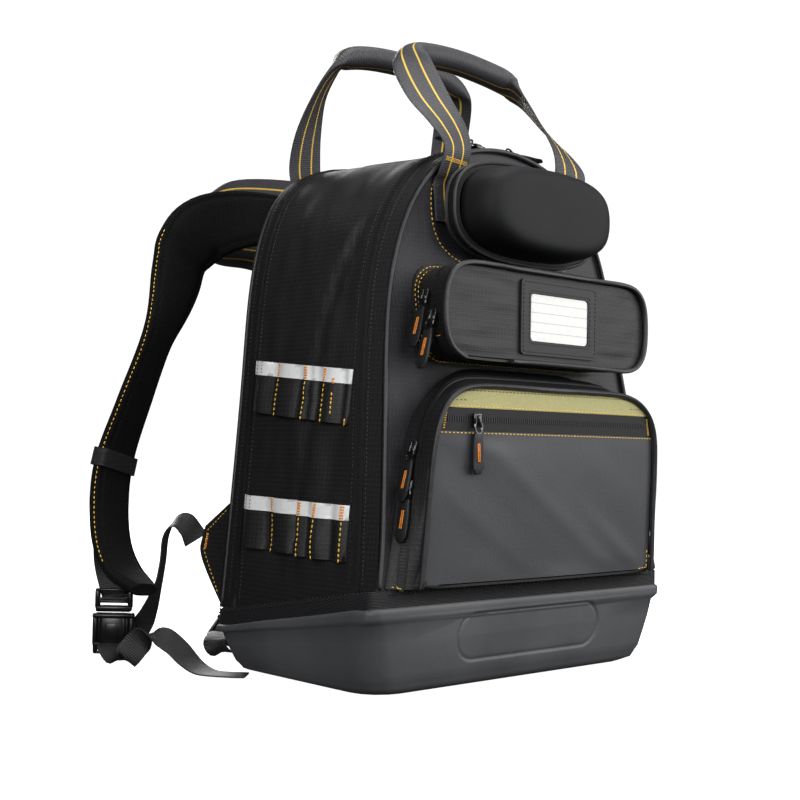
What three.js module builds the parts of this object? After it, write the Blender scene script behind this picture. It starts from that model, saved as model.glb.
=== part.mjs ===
import * as THREE from 'three';

// A tool backpack that stands on its moulded base. Millimetres, +Z up, the front faces -Y,
// the wearer's side faces +Y, and the origin is at the centre of the base's underside.

// Overall body
const BODY_TOP = 480;
const BODY_HALF_WIDTH = 182;
const BODY_REAR_HALF_WIDTH = BODY_HALF_WIDTH + 1.5;
const BODY_FRONT = 110;
const BODY_FRONT_AT_TOP = 73;
const BODY_REAR = 98;
const FRONT_BULGE = 6;
const SIDE_BULGE = 5;

// Moulded base
const LIP_FRONT_HEIGHT = 76;
const LIP_SLOPE = 0.165;
const LIP_HALF_WIDTH = BODY_HALF_WIDTH + 9;
const LIP_FRONT = BODY_FRONT + 7;
const LIP_REAR = BODY_REAR + 8;
const LIP_RADIUS = 14;
const TRIM_RADIUS = 12;
const BASE_WALL = 3;
const TRIM_HEIGHT = 14;
const TRIM_INSET = 3.6;

// Cloth, padding and small parts
const CLEARANCE = 0.3;
const SEAT = 0.5;
const CLOTH = 3;
const POCKET_CLOTH = 2;
const WEBBING = 1.8;
const TAPE = 1.4;
const STRIP = 0.7;
const PIPING_RADIUS = 2.6;
const PIPING_SIDES = 6;
const BACK_PAD = 14;
const BACK_BULGE = 7;

// Tool loops on the sides
const LOOP_BAND_HEIGHT = 47;
const LOOP_DEPTH = 10;
const REFLECTOR_HEIGHT = 13;
const UPPER_LOOPS_TOP = (7 / 12) * BODY_TOP;
const LOWER_LOOPS_TOP = 0.34 * BODY_TOP;
const UPPER_LOOPS_SLOPE = 0.09;
const LOWER_LOOPS_SLOPE = 0.027;

// Lower pocket
const POCKET_TOP = BODY_TOP - 222;
const POCKET_REAR_TOP = POCKET_TOP + 17;
const POCKET_HALF_WIDTH = BODY_HALF_WIDTH - 29;
const POCKET_REAR_HALF_WIDTH = BODY_HALF_WIDTH - 10;
const POCKET_FRONT = BODY_FRONT + 26;
const POCKET_BULGE = 4;
const POCKET_ZIP_BOTTOM = POCKET_TOP - 39;
const POCKET_ZIP_TOP = POCKET_TOP - 20;
const SIDE_PULL_DROP = 49;
const SIDE_PULL_SPACING = 31;

// Pod pocket
const POD_CENTRE_X = 2;
const POD_CENTRE_Z = BODY_TOP - 160;
const POD_HALF_WIDTH = BODY_HALF_WIDTH - 48;
const POD_HALF_HEIGHT = 41;
const POD_RADIUS = 24;
const POD_REAR_INSET = 16;
const POD_FRONT = BODY_FRONT + 20;
const POD_BULGE = 3;
const BACKING_SIDE_MARGIN = 6;
const BACKING_EDGE_MARGIN = 3;
const WINDOW_CENTRE_X = 9;
const WINDOW_HALF_WIDTH = 51;
const WINDOW_HALF_HEIGHT = 33;
const WINDOW_BORDER = 12;

// Glasses case
const CASE_CENTRE_Z = BODY_TOP - 65;
const CASE_HALF_WIDTH = 92;
const CASE_HALF_HEIGHT = 43;
const CASE_ZIP_DEPTH = BODY_FRONT_AT_TOP + 21;
const CASE_ZIP_WIDTH = 9;
const CASE_FRONT = CASE_ZIP_DEPTH + 47;
const CASE_WALL = 2.5;

// Handles and straps
const HANDLE_WIDTH = 38;
const FRONT_HANDLE_TOP = BODY_TOP + 98;
const REAR_HANDLE_TOP = BODY_TOP + 108;
const FRONT_FOOT_BOTTOM = BODY_TOP - 78;
const FRONT_FOOT_TOP = BODY_TOP - 44;
const REAR_FOOT_BOTTOM = BODY_TOP - 40;
const REAR_FOOT_TOP = BODY_TOP - 34;
const FRONT_FOOT_X = 75;
const REAR_FOOT_X = 88;
const GRIP_RADIUS = 11;
const GRIP_HALF_WIDTH = 14;
const HAUL_REACH = 165;
const STRAP_REACH = 112;
const STRAP_SPLAY = BODY_HALF_WIDTH + 59;
const STRAP_ROOT_HEIGHT = BODY_TOP - 35;
const PAD_WIDTH = 66;
const PAD_THICKNESS = 12;
const LOWER_WEBBING_WIDTH = 25;
const BUCKLE_WIDTH = 40;
const BUCKLE_LENGTH = 60;
const BUCKLE_THICKNESS = 11;
const BUCKLE_CORNER = 4;
const WEBBING_TURN = 3;
const WING_TOP = 150;
const WING_LENGTH = 38;

// The front and rear arches of the body, from the bottom edge up to the top. height, front
// and rear are shares of the body's height and half widths, lean is the share of the way
// that the front panel stands out from its top to its bottom, and bulge a share of its bulge.
const ARCH = [
  { height: 0, front: 1, rear: 1, lean: 1, bulge: 0 },
  { height: 0.05, front: 0.986, rear: 0.995, lean: 0.98, bulge: 0.2 },
  { height: 0.18, front: 0.951, rear: 0.967, lean: 0.83, bulge: 0.7 },
  { height: 0.345, front: 0.907, rear: 0.932, lean: 0.59, bulge: 1 },
  { height: 0.51, front: 0.863, rear: 0.9, lean: 0.33, bulge: 1 },
  { height: 0.655, front: 0.813, rear: 0.878, lean: 0.13, bulge: 1 },
  { height: 0.765, front: 0.747, rear: 0.845, lean: 0.075, bulge: 0.9 },
  { height: 0.84, front: 0.668, rear: 0.796, lean: 0.03, bulge: 0.7 },
  { height: 0.895, front: 0.577, rear: 0.739, lean: 0, bulge: 0.5 },
  { height: 0.938, front: 0.484, rear: 0.652, lean: 0, bulge: 0.3 },
  { height: 0.968, front: 0.357, rear: 0.533, lean: 0, bulge: 0.15 },
  { height: 0.988, front: 0.22, rear: 0.359, lean: 0, bulge: 0 },
  { height: 1, front: 0, rear: 0, lean: 0, bulge: 0 },
];

// The base's profile from the middle of the underside out and up to the lip, then in over
// its top. inset is a share of the lip's half width, height a share of the lip's height,
// and wall_in and wall_up shift the inner face by shares of the wall.
const BASE_PROFILE = [
  { inset: 0.17, height: 0, wall_in: 1, wall_up: 1 },
  { inset: 0.125, height: 0.02, wall_in: 1, wall_up: 1 },
  { inset: 0.098, height: 0.08, wall_in: 1.1, wall_up: 0.6 },
  { inset: 0.082, height: 0.22, wall_in: 1.1, wall_up: 0.3 },
  { inset: 0.026, height: 0.82, wall_in: 1.4, wall_up: 0 },
  { inset: 0.004, height: 0.88, wall_in: 2.8, wall_up: 0 },
  { inset: 0, height: 0.96, wall_in: 3.3, wall_up: 0 },
  { inset: 0.004, height: 1, wall_in: 3.4, wall_up: -1 },
  { inset: 0.075, height: 1, wall_in: 0, wall_up: -1 },
];

// The lower pocket's outlines, from the bottom up to the middle of the top. height and the
// half widths are shares of the pocket's own, reach is how far its front stands forward.
const POCKET = [
  { height: 0, front: 1, rear: 1, reach: 0.94 },
  { height: 0.2, front: 0.987, rear: 0.948, reach: 0.955 },
  { height: 0.4, front: 0.977, rear: 0.895, reach: 0.97 },
  { height: 0.6, front: 0.97, rear: 0.85, reach: 0.985 },
  { height: 0.765, front: 0.951, rear: 0.767, reach: 1 },
  { height: 0.88, front: 0.905, rear: 0.651, reach: 1 },
  { height: 0.95, front: 0.83, rear: 0.535, reach: 0.985 },
  { height: 0.985, front: 0.745, rear: 0.436, reach: 0.97 },
  { height: 1, front: 0.64, rear: 0.36, reach: 0.965 },
  { height: 1, front: 0, rear: 0, reach: 0.965 },
];

// Where the tool loops are stitched down, as shares of the band from its front end.
const UPPER_STITCHES = [0, 0.05, 0.29, 0.47, 0.76, 1];
const LOWER_STITCHES = [0, 0.13, 0.33, 0.47, 0.75, 1];

// Sections through the glasses case, from the zip out to the middle of the face. size is a
// share of the half width and half height, and out a share of the way to the face.
const CASE_SECTIONS = [
  { size: 0.95, out: 0 },
  { size: 0.93, out: 0.3 },
  { size: 0.88, out: 0.6 },
  { size: 0.78, out: 0.84 },
  { size: 0.6, out: 0.97 },
  { size: 0, out: 1 },
];

// Half of each top handle above its foot, up to the middle of the grip. across is a share of
// the foot's distance from the middle, depth a share of the way from the front panel's top to
// the rear, height a share of the rise from the foot, and turn twists the webbing by that
// part of a quarter turn. fold goes from 0, flat, to 1, folded round its pad.
const FRONT_HANDLE = [
  { across: 1, depth: -0.04, height: 0.07, turn: -0.12, fold: 0 },
  { across: 1.01, depth: -0.085, height: 0.22, turn: -0.08, fold: 0 },
  { across: 1.03, depth: -0.02, height: 0.38, turn: 0.15, fold: 0 },
  { across: 1.02, depth: 0.14, height: 0.6, turn: 0.4, fold: 0 },
  { across: 0.96, depth: 0.29, height: 0.83, turn: 0.55, fold: 0.15 },
  { across: 0.84, depth: 0.36, height: 0.93, turn: 0.9, fold: 0.9 },
  { across: 0.5, depth: 0.4, height: 0.98, turn: 1, fold: 1 },
  { across: 0, depth: 0.41, height: 1, turn: 1, fold: 1 },
];
const REAR_HANDLE = [
  { across: 1, depth: 1.055, height: 0.06, turn: 0, fold: 0 },
  { across: 1.03, depth: 1.065, height: 0.21, turn: 0, fold: 0 },
  { across: 1.06, depth: 1.02, height: 0.42, turn: -0.15, fold: 0 },
  { across: 1.02, depth: 0.95, height: 0.68, turn: -0.4, fold: 0 },
  { across: 0.93, depth: 0.88, height: 0.86, turn: -0.55, fold: 0.15 },
  { across: 0.83, depth: 0.85, height: 0.94, turn: -0.9, fold: 0.9 },
  { across: 0.5, depth: 0.83, height: 0.985, turn: -1, fold: 1 },
  { across: 0, depth: 0.82, height: 1, turn: -1, fold: 1 },
];

// The haul loop on the back, flopped over to the left. across is a share of the splay, back
// of the loop's own reach and height of the strap root's height; wx and wz point its width.
const HAUL_LOOP = [
  { across: -0.2, back: 0, height: 0.98, wx: 0.3, wy: 0, wz: 0.95, fold: 0 },
  { across: -0.27, back: 0.3, height: 1.02, wx: 0.25, wy: 0, wz: 0.97, fold: 0 },
  { across: -0.38, back: 0.72, height: 1.04, wx: 0.2, wy: 0.05, wz: 0.97, fold: 0.3 },
  { across: -0.41, back: 0.93, height: 1.02, wx: 0.1, wy: 0.6, wz: 0.8, fold: 0.9 },
  { across: -0.41, back: 1, height: 0.97, wx: 0, wy: 1, wz: 0.2, fold: 1 },
  { across: -0.385, back: 0.9, height: 0.92, wx: 0, wy: 0.7, wz: -0.7, fold: 1 },
  { across: -0.34, back: 0.65, height: 0.9, wx: -0.1, wy: 0.2, wz: -0.97, fold: 1 },
  { across: -0.29, back: 0.42, height: 0.88, wx: -0.25, wy: 0, wz: -0.95, fold: 0.6 },
  { across: -0.2, back: 0.2, height: 0.86, wx: -0.3, wy: 0, wz: -0.95, fold: 0 },
  { across: -0.1, back: 0, height: 0.84, wx: -0.3, wy: 0, wz: -0.95, fold: 0 },
];

// The shoulder straps hang as the bag was set down, so the two differ. out is a share of the
// splay to the strap's own side, back of the reach behind the back panel, height of the
// root's height and width of the pad's width. wx, wy and wz point its width.
const LEFT_STRAP = [
  { out: 0.37, back: 0, height: 0.93, width: 0.8, wx: 0.75, wy: 0, wz: 0.66 },
  { out: 0.49, back: 0.29, height: 0.955, width: 0.85, wx: 0.35, wy: 0.1, wz: 0.92 },
  { out: 0.6, back: 0.74, height: 0.945, width: 1, wx: -0.1, wy: 0, wz: 1 },
  { out: 0.68, back: 0.9, height: 0.89, width: 1, wx: -0.7, wy: -0.15, wz: 0.7 },
  { out: 0.72, back: 0.9, height: 0.82, width: 1, wx: -0.9, wy: -0.25, wz: 0.3 },
  { out: 0.81, back: 0.83, height: 0.7, width: 1, wx: -0.93, wy: -0.35, wz: 0 },
  { out: 0.89, back: 0.92, height: 0.55, width: 1, wx: -0.93, wy: -0.37, wz: 0 },
  { out: 0.95, back: 0.99, height: 0.43, width: 1, wx: -0.93, wy: -0.37, wz: 0 },
  { out: 0.98, back: 0.96, height: 0.34, width: 1, wx: -0.93, wy: -0.37, wz: 0 },
  { out: 1, back: 0.83, height: 0.25, width: 0.95, wx: -0.93, wy: -0.37, wz: 0 },
  { out: 1, back: 0.62, height: 0.19, width: 0.8, wx: -0.95, wy: -0.3, wz: 0 },
  { out: 1, back: 0.3, height: 0.16, width: 0.45, wx: -0.97, wy: -0.2, wz: 0 },
];
const RIGHT_STRAP = [
  { out: 0.37, back: 0, height: 0.93, width: 0.8, wx: 0.75, wy: 0, wz: -0.66 },
  { out: 0.42, back: 0.4, height: 0.965, width: 0.9, wx: 0.85, wy: 0, wz: -0.5 },
  { out: 0.45, back: 0.78, height: 0.955, width: 1, wx: 0.95, wy: 0, wz: -0.25 },
  { out: 0.42, back: 1, height: 0.89, width: 1, wx: 1, wy: 0, wz: -0.1 },
  { out: 0.36, back: 1.1, height: 0.8, width: 1, wx: 1, wy: 0, wz: 0 },
  { out: 0.26, back: 1.17, height: 0.67, width: 1, wx: 1, wy: 0, wz: 0.12 },
  { out: 0.16, back: 1.2, height: 0.54, width: 1, wx: 1, wy: 0, wz: 0.15 },
  { out: 0.05, back: 1.18, height: 0.39, width: 1, wx: 1, wy: 0, wz: 0.15 },
  { out: -0.03, back: 1.09, height: 0.27, width: 0.95, wx: 1, wy: 0, wz: 0.15 },
  { out: -0.08, back: 0.95, height: 0.19, width: 0.8, wx: 1, wy: 0, wz: 0.12 },
  { out: -0.11, back: 0.68, height: 0.15, width: 0.45, wx: 1, wy: 0, wz: 0.1 },
];

// The loose webbing below each strap, from the wing to the buckle. out, back and height are
// shares of the splay, the reach and the wing's height, and wx, wy and wz point its width.
const LEFT_LOWER = [
  { out: -0.755, back: 0.356, height: 0.76, wx: 0, wy: 0.1, wz: 1 },
  { out: -0.79, back: 0.4, height: 0.86, wx: 0.4, wy: 0.4, wz: 0.8 },
  { out: -0.825, back: 0.47, height: 0.87, wx: 0.65, wy: 0.65, wz: 0.3 },
  { out: -0.842, back: 0.536, height: 0.78, wx: 0.7, wy: 0.7, wz: 0 },
  { out: -0.846, back: 0.56, height: 0.62, wx: 0.7, wy: 0.7, wz: 0 },
  { out: -0.859, back: 0.58, height: 0.47, wx: 0.75, wy: 0.65, wz: 0 },
  { out: -0.892, back: 0.59, height: 0.32, wx: 0.9, wy: 0.3, wz: 0 },
  { out: -0.925, back: 0.66, height: 0.2, wx: 0.9, wy: -0.3, wz: 0 },
];
const LEFT_TAIL = [
  { out: -1.05, back: 0.42, height: 0.06, wx: 0.75, wy: -0.65, wz: 0 },
  { out: -1, back: 0.33, height: 0.17, wx: 0.8, wy: -0.5, wz: 0.1 },
  { out: -0.95, back: 0.24, height: 0.2, wx: 0.9, wy: -0.1, wz: 0.2 },
  { out: -0.91, back: 0.12, height: 0.14, wx: 0.95, wy: 0, wz: 0.15 },
  { out: -0.89, back: -0.04, height: 0.055, wx: 1, wy: 0, wz: 0 },
  { out: -0.875, back: -0.2, height: 0.014, wx: 1, wy: 0.1, wz: 0 },
  { out: -0.84, back: -0.38, height: 0.012, wx: 0.8, wy: 0.5, wz: 0 },
  { out: -0.79, back: -0.5, height: 0.012, wx: 0.7, wy: 0.7, wz: 0 },
];
const RIGHT_LOWER = [
  { out: 0.745, back: 0.338, height: 0.76, wx: 0, wy: 0.1, wz: 1 },
  { out: 0.77, back: 0.5, height: 0.74, wx: 0.3, wy: 0, wz: 0.9 },
  { out: 0.75, back: 0.66, height: 0.5, wx: 0.8, wy: 0.5, wz: 0.3 },
  { out: 0.68, back: 0.76, height: 0.2, wx: 0.6, wy: 0.8, wz: 0 },
  { out: 0.5, back: 0.8, height: 0.05, wx: 0.1, wy: 1, wz: 0 },
  { out: 0.2, back: 0.76, height: 0.025, wx: 0, wy: 1, wz: 0 },
  { out: -0.15, back: 0.68, height: 0.025, wx: 0, wy: 1, wz: 0 },
];
const RIGHT_TAIL = [
  { out: -0.62, back: 0.46, height: 0.1, wx: -0.45, wy: 0.89, wz: 0 },
  { out: -0.6, back: 0.38, height: 0.045, wx: -0.3, wy: 0.95, wz: 0 },
  { out: -0.48, back: 0.34, height: 0.022, wx: 0, wy: 1, wz: 0 },
  { out: -0.33, back: 0.32, height: 0.02, wx: 0, wy: 1, wz: 0 },
];

// The webbing sewn to the outside of each pad, from the pad toward its buckle's upper slot.
const LEFT_UPPER = [
  { out: -0.992, back: 1.048, height: 1, wx: 0.93, wy: 0.33, wz: -0.2 },
  { out: -1.01, back: 0.915, height: 0.71, wx: 0.93, wy: 0.1, wz: -0.1 },
  { out: -1.017, back: 0.8, height: 0.56, wx: 0.85, wy: -0.4, wz: 0 },
];
const RIGHT_UPPER = [
  { out: -0.028, back: 1.187, height: 0.787, wx: -1, wy: 0, wz: -0.15 },
  { out: -0.076, back: 1.02, height: 0.525, wx: -0.96, wy: 0.2, wz: 0.1 },
  { out: -0.116, back: 0.91, height: 0.413, wx: -0.8, wy: 0.5, wz: 0 },
  { out: -0.22, back: 0.83, height: 0.4, wx: -0.55, wy: 0.8, wz: 0 },
  { out: -0.365, back: 0.755, height: 0.43, wx: -0.45, wy: 0.89, wz: 0 },
];

// Where each buckle lies: its middle as shares of the splay and reach and as a part of its
// own length, and the ways that its length and its width point.
const BUCKLES = {
  left: { out: -1.03, back: 0.66, height: 0.66, long: [0.02, 0.04, 1], wide: [0.74, -0.67, 0] },
  right: { out: -0.48, back: 0.63, height: 0.46, long: [0.72, 0.36, 0.6], wide: [-0.45, 0.89, 0] },
};

// Turns a list of corners and triangles into a closed body whose faces point outward.
// Corners in one place are merged, and triangles that shrink to a line are left out.
function closedBody(corners, triangles) {
  const ids = new Map();
  const merged = [];
  const idOf = corners.map((p) => {
    const key = `${p.x.toFixed(4)} ${p.y.toFixed(4)} ${p.z.toFixed(4)}`;
    if (!ids.has(key)) {
      ids.set(key, merged.length);
      merged.push(p);
    }
    return ids.get(key);
  });
  let faces = triangles.map((t) => t.map((i) => idOf[i]));
  faces = faces.filter(([a, b, c]) => a !== b && b !== c && c !== a);
  let volume = 0;
  for (const [a, b, c] of faces) {
    volume += merged[a].dot(new THREE.Vector3().crossVectors(merged[b], merged[c]));
  }
  if (volume < 0) {
    faces = faces.map(([a, b, c]) => [a, c, b]);
  }
  const geometry = new THREE.BufferGeometry().setFromPoints(merged);
  geometry.setIndex(faces.flat());
  return geometry;
}

// A wall between two grids of points, given as lists of rows. A ringed wall joins the last
// column to the first; otherwise all four edges are closed.
function wallBody(outer, inner, ringed = false) {
  const rows = outer.length;
  const columns = outer[0].length;
  const corners = [...outer.flat(), ...inner.flat()];
  const offset = rows * columns;
  const triangles = [];
  const quad = (a, b, c, d) => triangles.push([a, b, c], [a, c, d]);
  const at = (row, column) => row * columns + (column % columns);
  const lastColumn = ringed ? columns : columns - 1;
  for (let row = 0; row < rows - 1; row += 1) {
    for (let column = 0; column < lastColumn; column += 1) {
      const [a, b] = [at(row, column), at(row, column + 1)];
      const [c, d] = [at(row + 1, column + 1), at(row + 1, column)];
      quad(a, b, c, d);
      quad(offset + a, offset + d, offset + c, offset + b);
    }
  }
  for (let column = 0; column < lastColumn; column += 1) {
    const [a, b] = [at(0, column), at(0, column + 1)];
    const [c, d] = [at(rows - 1, column), at(rows - 1, column + 1)];
    quad(a, offset + a, offset + b, b);
    quad(c, d, offset + d, offset + c);
  }
  if (!ringed) {
    for (let row = 0; row < rows - 1; row += 1) {
      const [a, b] = [at(row, 0), at(row + 1, 0)];
      const [c, d] = [at(row, columns - 1), at(row + 1, columns - 1)];
      quad(a, b, offset + b, offset + a);
      quad(c, offset + c, offset + d, d);
    }
  }
  return closedBody(corners, triangles);
}

// A solid through rings of points, closed at both ends by fans to the rings' middles.
function loftBody(rings) {
  const count = rings[0].length;
  const corners = rings.flat();
  const triangles = [];
  for (let ring = 0; ring < rings.length - 1; ring += 1) {
    for (let i = 0; i < count; i += 1) {
      const a = ring * count + i;
      const b = ring * count + ((i + 1) % count);
      triangles.push([a, b, b + count], [a, b + count, a + count]);
    }
  }
  const last = (rings.length - 1) * count;
  for (const start of [0, last]) {
    const middle = new THREE.Vector3();
    for (let i = 0; i < count; i += 1) {
      middle.addScaledVector(corners[start + i], 1 / count);
    }
    corners.push(middle);
    for (let i = 0; i < count; i += 1) {
      const next = (i + 1) % count;
      const pair = start === 0 ? [next, i] : [last + i, last + next];
      triangles.push([pair[0], pair[1], corners.length - 1]);
    }
  }
  return closedBody(corners, triangles);
}

// A round tube along a list of points.
function tubeBody(points, radius, steps, closed = false) {
  const path = new THREE.CatmullRomCurve3(points, closed, 'centripetal');
  const section = new THREE.Shape();
  for (let i = 0; i < PIPING_SIDES; i += 1) {
    const angle = (2 * Math.PI * (i + 0.5)) / PIPING_SIDES;
    const corner = [radius * Math.cos(angle), radius * Math.sin(angle)];
    if (i === 0) {
      section.moveTo(...corner);
    } else {
      section.lineTo(...corner);
    }
  }
  const options = { steps, extrudePath: path, bevelEnabled: false, curveSegments: 1 };
  const geometry = new THREE.ExtrudeGeometry(section, options);
  const position = geometry.getAttribute('position');
  const corners = [];
  const triangles = [];
  for (let i = 0; i < position.count; i += 1) {
    corners.push(new THREE.Vector3().fromBufferAttribute(position, i));
    if (i % 3 === 2) {
      triangles.push([i - 2, i - 1, i]);
    }
  }
  return closedBody(corners, triangles);
}

// Moves a flat line of [x, z] points sideways by a distance for each point, inward when it
// is positive and the line runs clockwise. A closed line joins its ends.
function insetLine(line, distanceAt, closed = false) {
  const count = line.length;
  return line.map((point, i) => {
    const before = line[closed ? (i + count - 1) % count : Math.max(i - 1, 0)];
    const after = line[closed ? (i + 1) % count : Math.min(i + 1, count - 1)];
    const normals = [];
    for (const [a, b] of [[before, point], [point, after]]) {
      const length = Math.hypot(b[0] - a[0], b[1] - a[1]);
      if (length > 0) {
        normals.push([(b[1] - a[1]) / length, -(b[0] - a[0]) / length]);
      }
    }
    const [m, n] = [normals[0], normals[normals.length - 1]];
    const scale = distanceAt(i) / Math.max(0.4, 1 + m[0] * n[0] + m[1] * n[1]);
    return [point[0] + (m[0] + n[0]) * scale, point[1] + (m[1] + n[1]) * scale];
  });
}

// Reads a value out of a table by a key column, in straight lines between its rows.
function readTable(table, keyOf, key, valueOf) {
  for (let i = 1; i < table.length; i += 1) {
    const [low, high] = [keyOf(table[i - 1]), keyOf(table[i])];
    if (key <= high || i === table.length - 1) {
      const share = Math.min(Math.max((key - low) / Math.max(high - low, 1e-6), 0), 1);
      return valueOf(table[i - 1]) * (1 - share) + valueOf(table[i]) * share;
    }
  }
  return valueOf(table[0]);
}

const mix = (a, b, share) => a + (b - a) * share;
const toPoint = (x, y, z) => new THREE.Vector3(x, y, z);
const lipHeight = (y) => LIP_FRONT_HEIGHT - LIP_SLOPE * (y + LIP_FRONT);
const frontBottom = lipHeight(-BODY_FRONT) + CLEARANCE;
const rearBottom = lipHeight(BODY_REAR) + CLEARANCE;
const frontHeight = (row) => mix(frontBottom, BODY_TOP, row.height);
const frontPlane = (row) => -mix(BODY_FRONT_AT_TOP, BODY_FRONT, row.lean);

// The body's outline at a share of its depth, 0 at the front and 1 at the rear, moved
// inward by an inset: left edge upward, over the top and down the right edge.
function archLine(depth, inset) {
  const half = ARCH.map((row) => [
    -mix(row.front * BODY_HALF_WIDTH, row.rear * BODY_REAR_HALF_WIDTH, depth),
    mix(frontHeight(row), mix(rearBottom, BODY_TOP, row.height), depth),
    mix(frontPlane(row), BODY_REAR, depth),
  ]);
  const right = half.slice(0, -1).reverse().map(([x, z, y]) => [-x, z, y]);
  const whole = [...half, ...right];
  const last = whole.length - 1;
  const puff = SIDE_BULGE * Math.sin(Math.PI * depth);
  const bulgeAt = (i) => puff * ARCH[Math.min(i, last - i)].bulge;
  const moved = insetLine(whole.map(([x, z]) => [x, z]), (i) => inset - bulgeAt(i));
  return moved.map(([x, z], i) => {
    const edge = i === 0 || i === last;
    return toPoint(x, whole[i][2], edge ? whole[i][1] : z);
  });
}

// How far the padded back stands out of the rear arch at a height.
function rearBulge(z) {
  const heightOf = (row) => mix(rearBottom, BODY_TOP, row.height);
  return readTable(ARCH, heightOf, z, (row) => row.bulge * BACK_BULGE);
}

// The y of the front panel's outer face.
function frontFace(x, z) {
  const plane = readTable(ARCH, frontHeight, z, frontPlane);
  const width = readTable(ARCH, frontHeight, z, (row) => row.front * BODY_HALF_WIDTH);
  const bulge = readTable(ARCH, frontHeight, z, (row) => row.bulge * FRONT_BULGE);
  const share = Math.min(Math.abs(x) / Math.max(width, 1), 1);
  return plane - bulge * (1 - share * share);
}

const materialOf = (colour, roughness, metalness = 0) =>
  new THREE.MeshStandardMaterial({ color: colour, roughness, metalness });

const group = new THREE.Group();
function add(name, geometry, material) {
  const mesh = new THREE.Mesh(geometry, material);
  mesh.name = name;
  group.add(mesh);
  return mesh;
}

const cloth = () => materialOf(0x2b2c2f, 0.9);
const webbing = () => materialOf(0x3a3b3e, 0.85);
const vinyl = () => materialOf(0x4a4b4e, 0.45);
const plastic = () => materialOf(0x17181a, 0.4);
const coated = () => materialOf(0x3d3f43, 0.5);
const olive = () => materialOf(0x858850, 0.85);
const reflective = () => materialOf(0xc8c9cb, 0.4);
const coil = () => materialOf(0x1b1b1d, 0.6);
const mesh3d = () => materialOf(0x141415, 0.95);

// Moulded base: a rounded plan whose lip falls towards the rear.
function basePlan(inset, radius) {
  const points = [];
  const halfWidth = LIP_HALF_WIDTH - inset;
  const [front, rear] = [-(LIP_FRONT - inset), LIP_REAR - inset];
  const corners = [
    [halfWidth - radius, rear - radius, 0],
    [-(halfWidth - radius), rear - radius, 0.5],
    [-(halfWidth - radius), front + radius, 1],
    [halfWidth - radius, front + radius, 1.5],
  ];
  const cornerSteps = 4;
  for (const [x, y, turn] of corners) {
    for (let i = 0; i <= cornerSteps; i += 1) {
      const angle = Math.PI * (turn + (0.5 * i) / cornerSteps);
      points.push([x + radius * Math.cos(angle), y + radius * Math.sin(angle)]);
    }
  }
  return points;
}

function baseTray() {
  const outer = [];
  const inner = [];
  for (const row of BASE_PROFILE) {
    const inset = row.inset * LIP_HALF_WIDTH;
    const lay = (distance, rise) => {
      const radius = LIP_RADIUS + 0.6 * distance;
      return basePlan(distance, radius).map(([x, y]) =>
        toPoint(x, y, row.height * lipHeight(y) + rise));
    };
    outer.push(lay(inset, 0));
    inner.push(lay(inset + row.wall_in * BASE_WALL, row.wall_up * BASE_WALL));
  }
  const middle = (z) => outer[0].map(() => toPoint(0, 0, z));
  outer.unshift(middle(0));
  inner.unshift(middle(BASE_WALL));
  return wallBody(outer, inner, true);
}
add('base_tray', baseTray(), materialOf(0x3b3c3f, 0.7));

function baseTrim() {
  const ring = (inset, rise) => basePlan(inset, TRIM_RADIUS - inset).map(([x, y]) =>
    toPoint(x, y, lipHeight(y) + CLEARANCE + rise));
  const heights = [0, TRIM_HEIGHT];
  const outer = heights.map((rise) => ring(TRIM_INSET, rise));
  const inner = heights.map((rise) => ring(TRIM_INSET + WEBBING, rise));
  return wallBody(outer, inner, true);
}
add('base_trim', baseTrim(), webbing());

// Body: the side gusset, the two panels inside its ends, the pipings and the zip tapes.
const MAIN_ZIP_DEPTHS = [0.1, 0.145];
const REAR_ZIP_DEPTHS = [0.9, 0.94];
const GUSSET_DEPTHS = [0, ...MAIN_ZIP_DEPTHS, 0.4, 0.65, ...REAR_ZIP_DEPTHS, 1];

function archBand(depths, inset, thickness) {
  const outer = depths.map((depth) => archLine(depth, inset));
  const inner = depths.map((depth) => archLine(depth, inset + thickness));
  return wallBody(outer, inner);
}
add('side_gusset', archBand(GUSSET_DEPTHS, 0, CLOTH), cloth());
add('main_zip', archBand(MAIN_ZIP_DEPTHS, -CLEARANCE - TAPE, TAPE), coil());
add('rear_zip', archBand(REAR_ZIP_DEPTHS, -CLEARANCE - TAPE, TAPE), coil());

// A panel across an arch: each row runs from the left edge to the right, and puff is how far
// its middle stands out.
function archPanel(depth, inset, yOf) {
  const edge = archLine(depth, inset);
  const columns = 8;
  const top = ARCH.length - 1;
  return edge.slice(0, top + 1).map((left) => {
    const row = [];
    for (let i = 0; i <= columns; i += 1) {
      const x = mix(left.x, -left.x, i / columns);
      const y = yOf(x, left.z, left.x);
      row.push(toPoint(x, y, Math.max(left.z, lipHeight(y) + CLEARANCE)));
    }
    return row;
  });
}

function frontPanel() {
  const inset = CLOTH + CLEARANCE;
  const outer = archPanel(0, inset, (x, z) => frontFace(x, z));
  const inner = archPanel(0, inset, (x, z) => frontFace(x, z) + CLOTH);
  return wallBody(outer, inner);
}
add('front_panel', frontPanel(), cloth());

function backPanel() {
  const inset = CLOTH + CLEARANCE;
  const rearFace = (x, z, edge) => {
    const share = Math.abs(x / (edge || 1));
    return BODY_REAR + rearBulge(z) * (1 - share ** 4);
  };
  const innerDepth = 1 - BACK_PAD / (BODY_REAR + BODY_FRONT_AT_TOP);
  const outer = archPanel(1, inset, rearFace);
  const inner = archPanel(innerDepth, inset, () => BODY_REAR - BACK_PAD);
  return wallBody(outer, inner);
}
add('back_panel', backPanel(), mesh3d());

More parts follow.
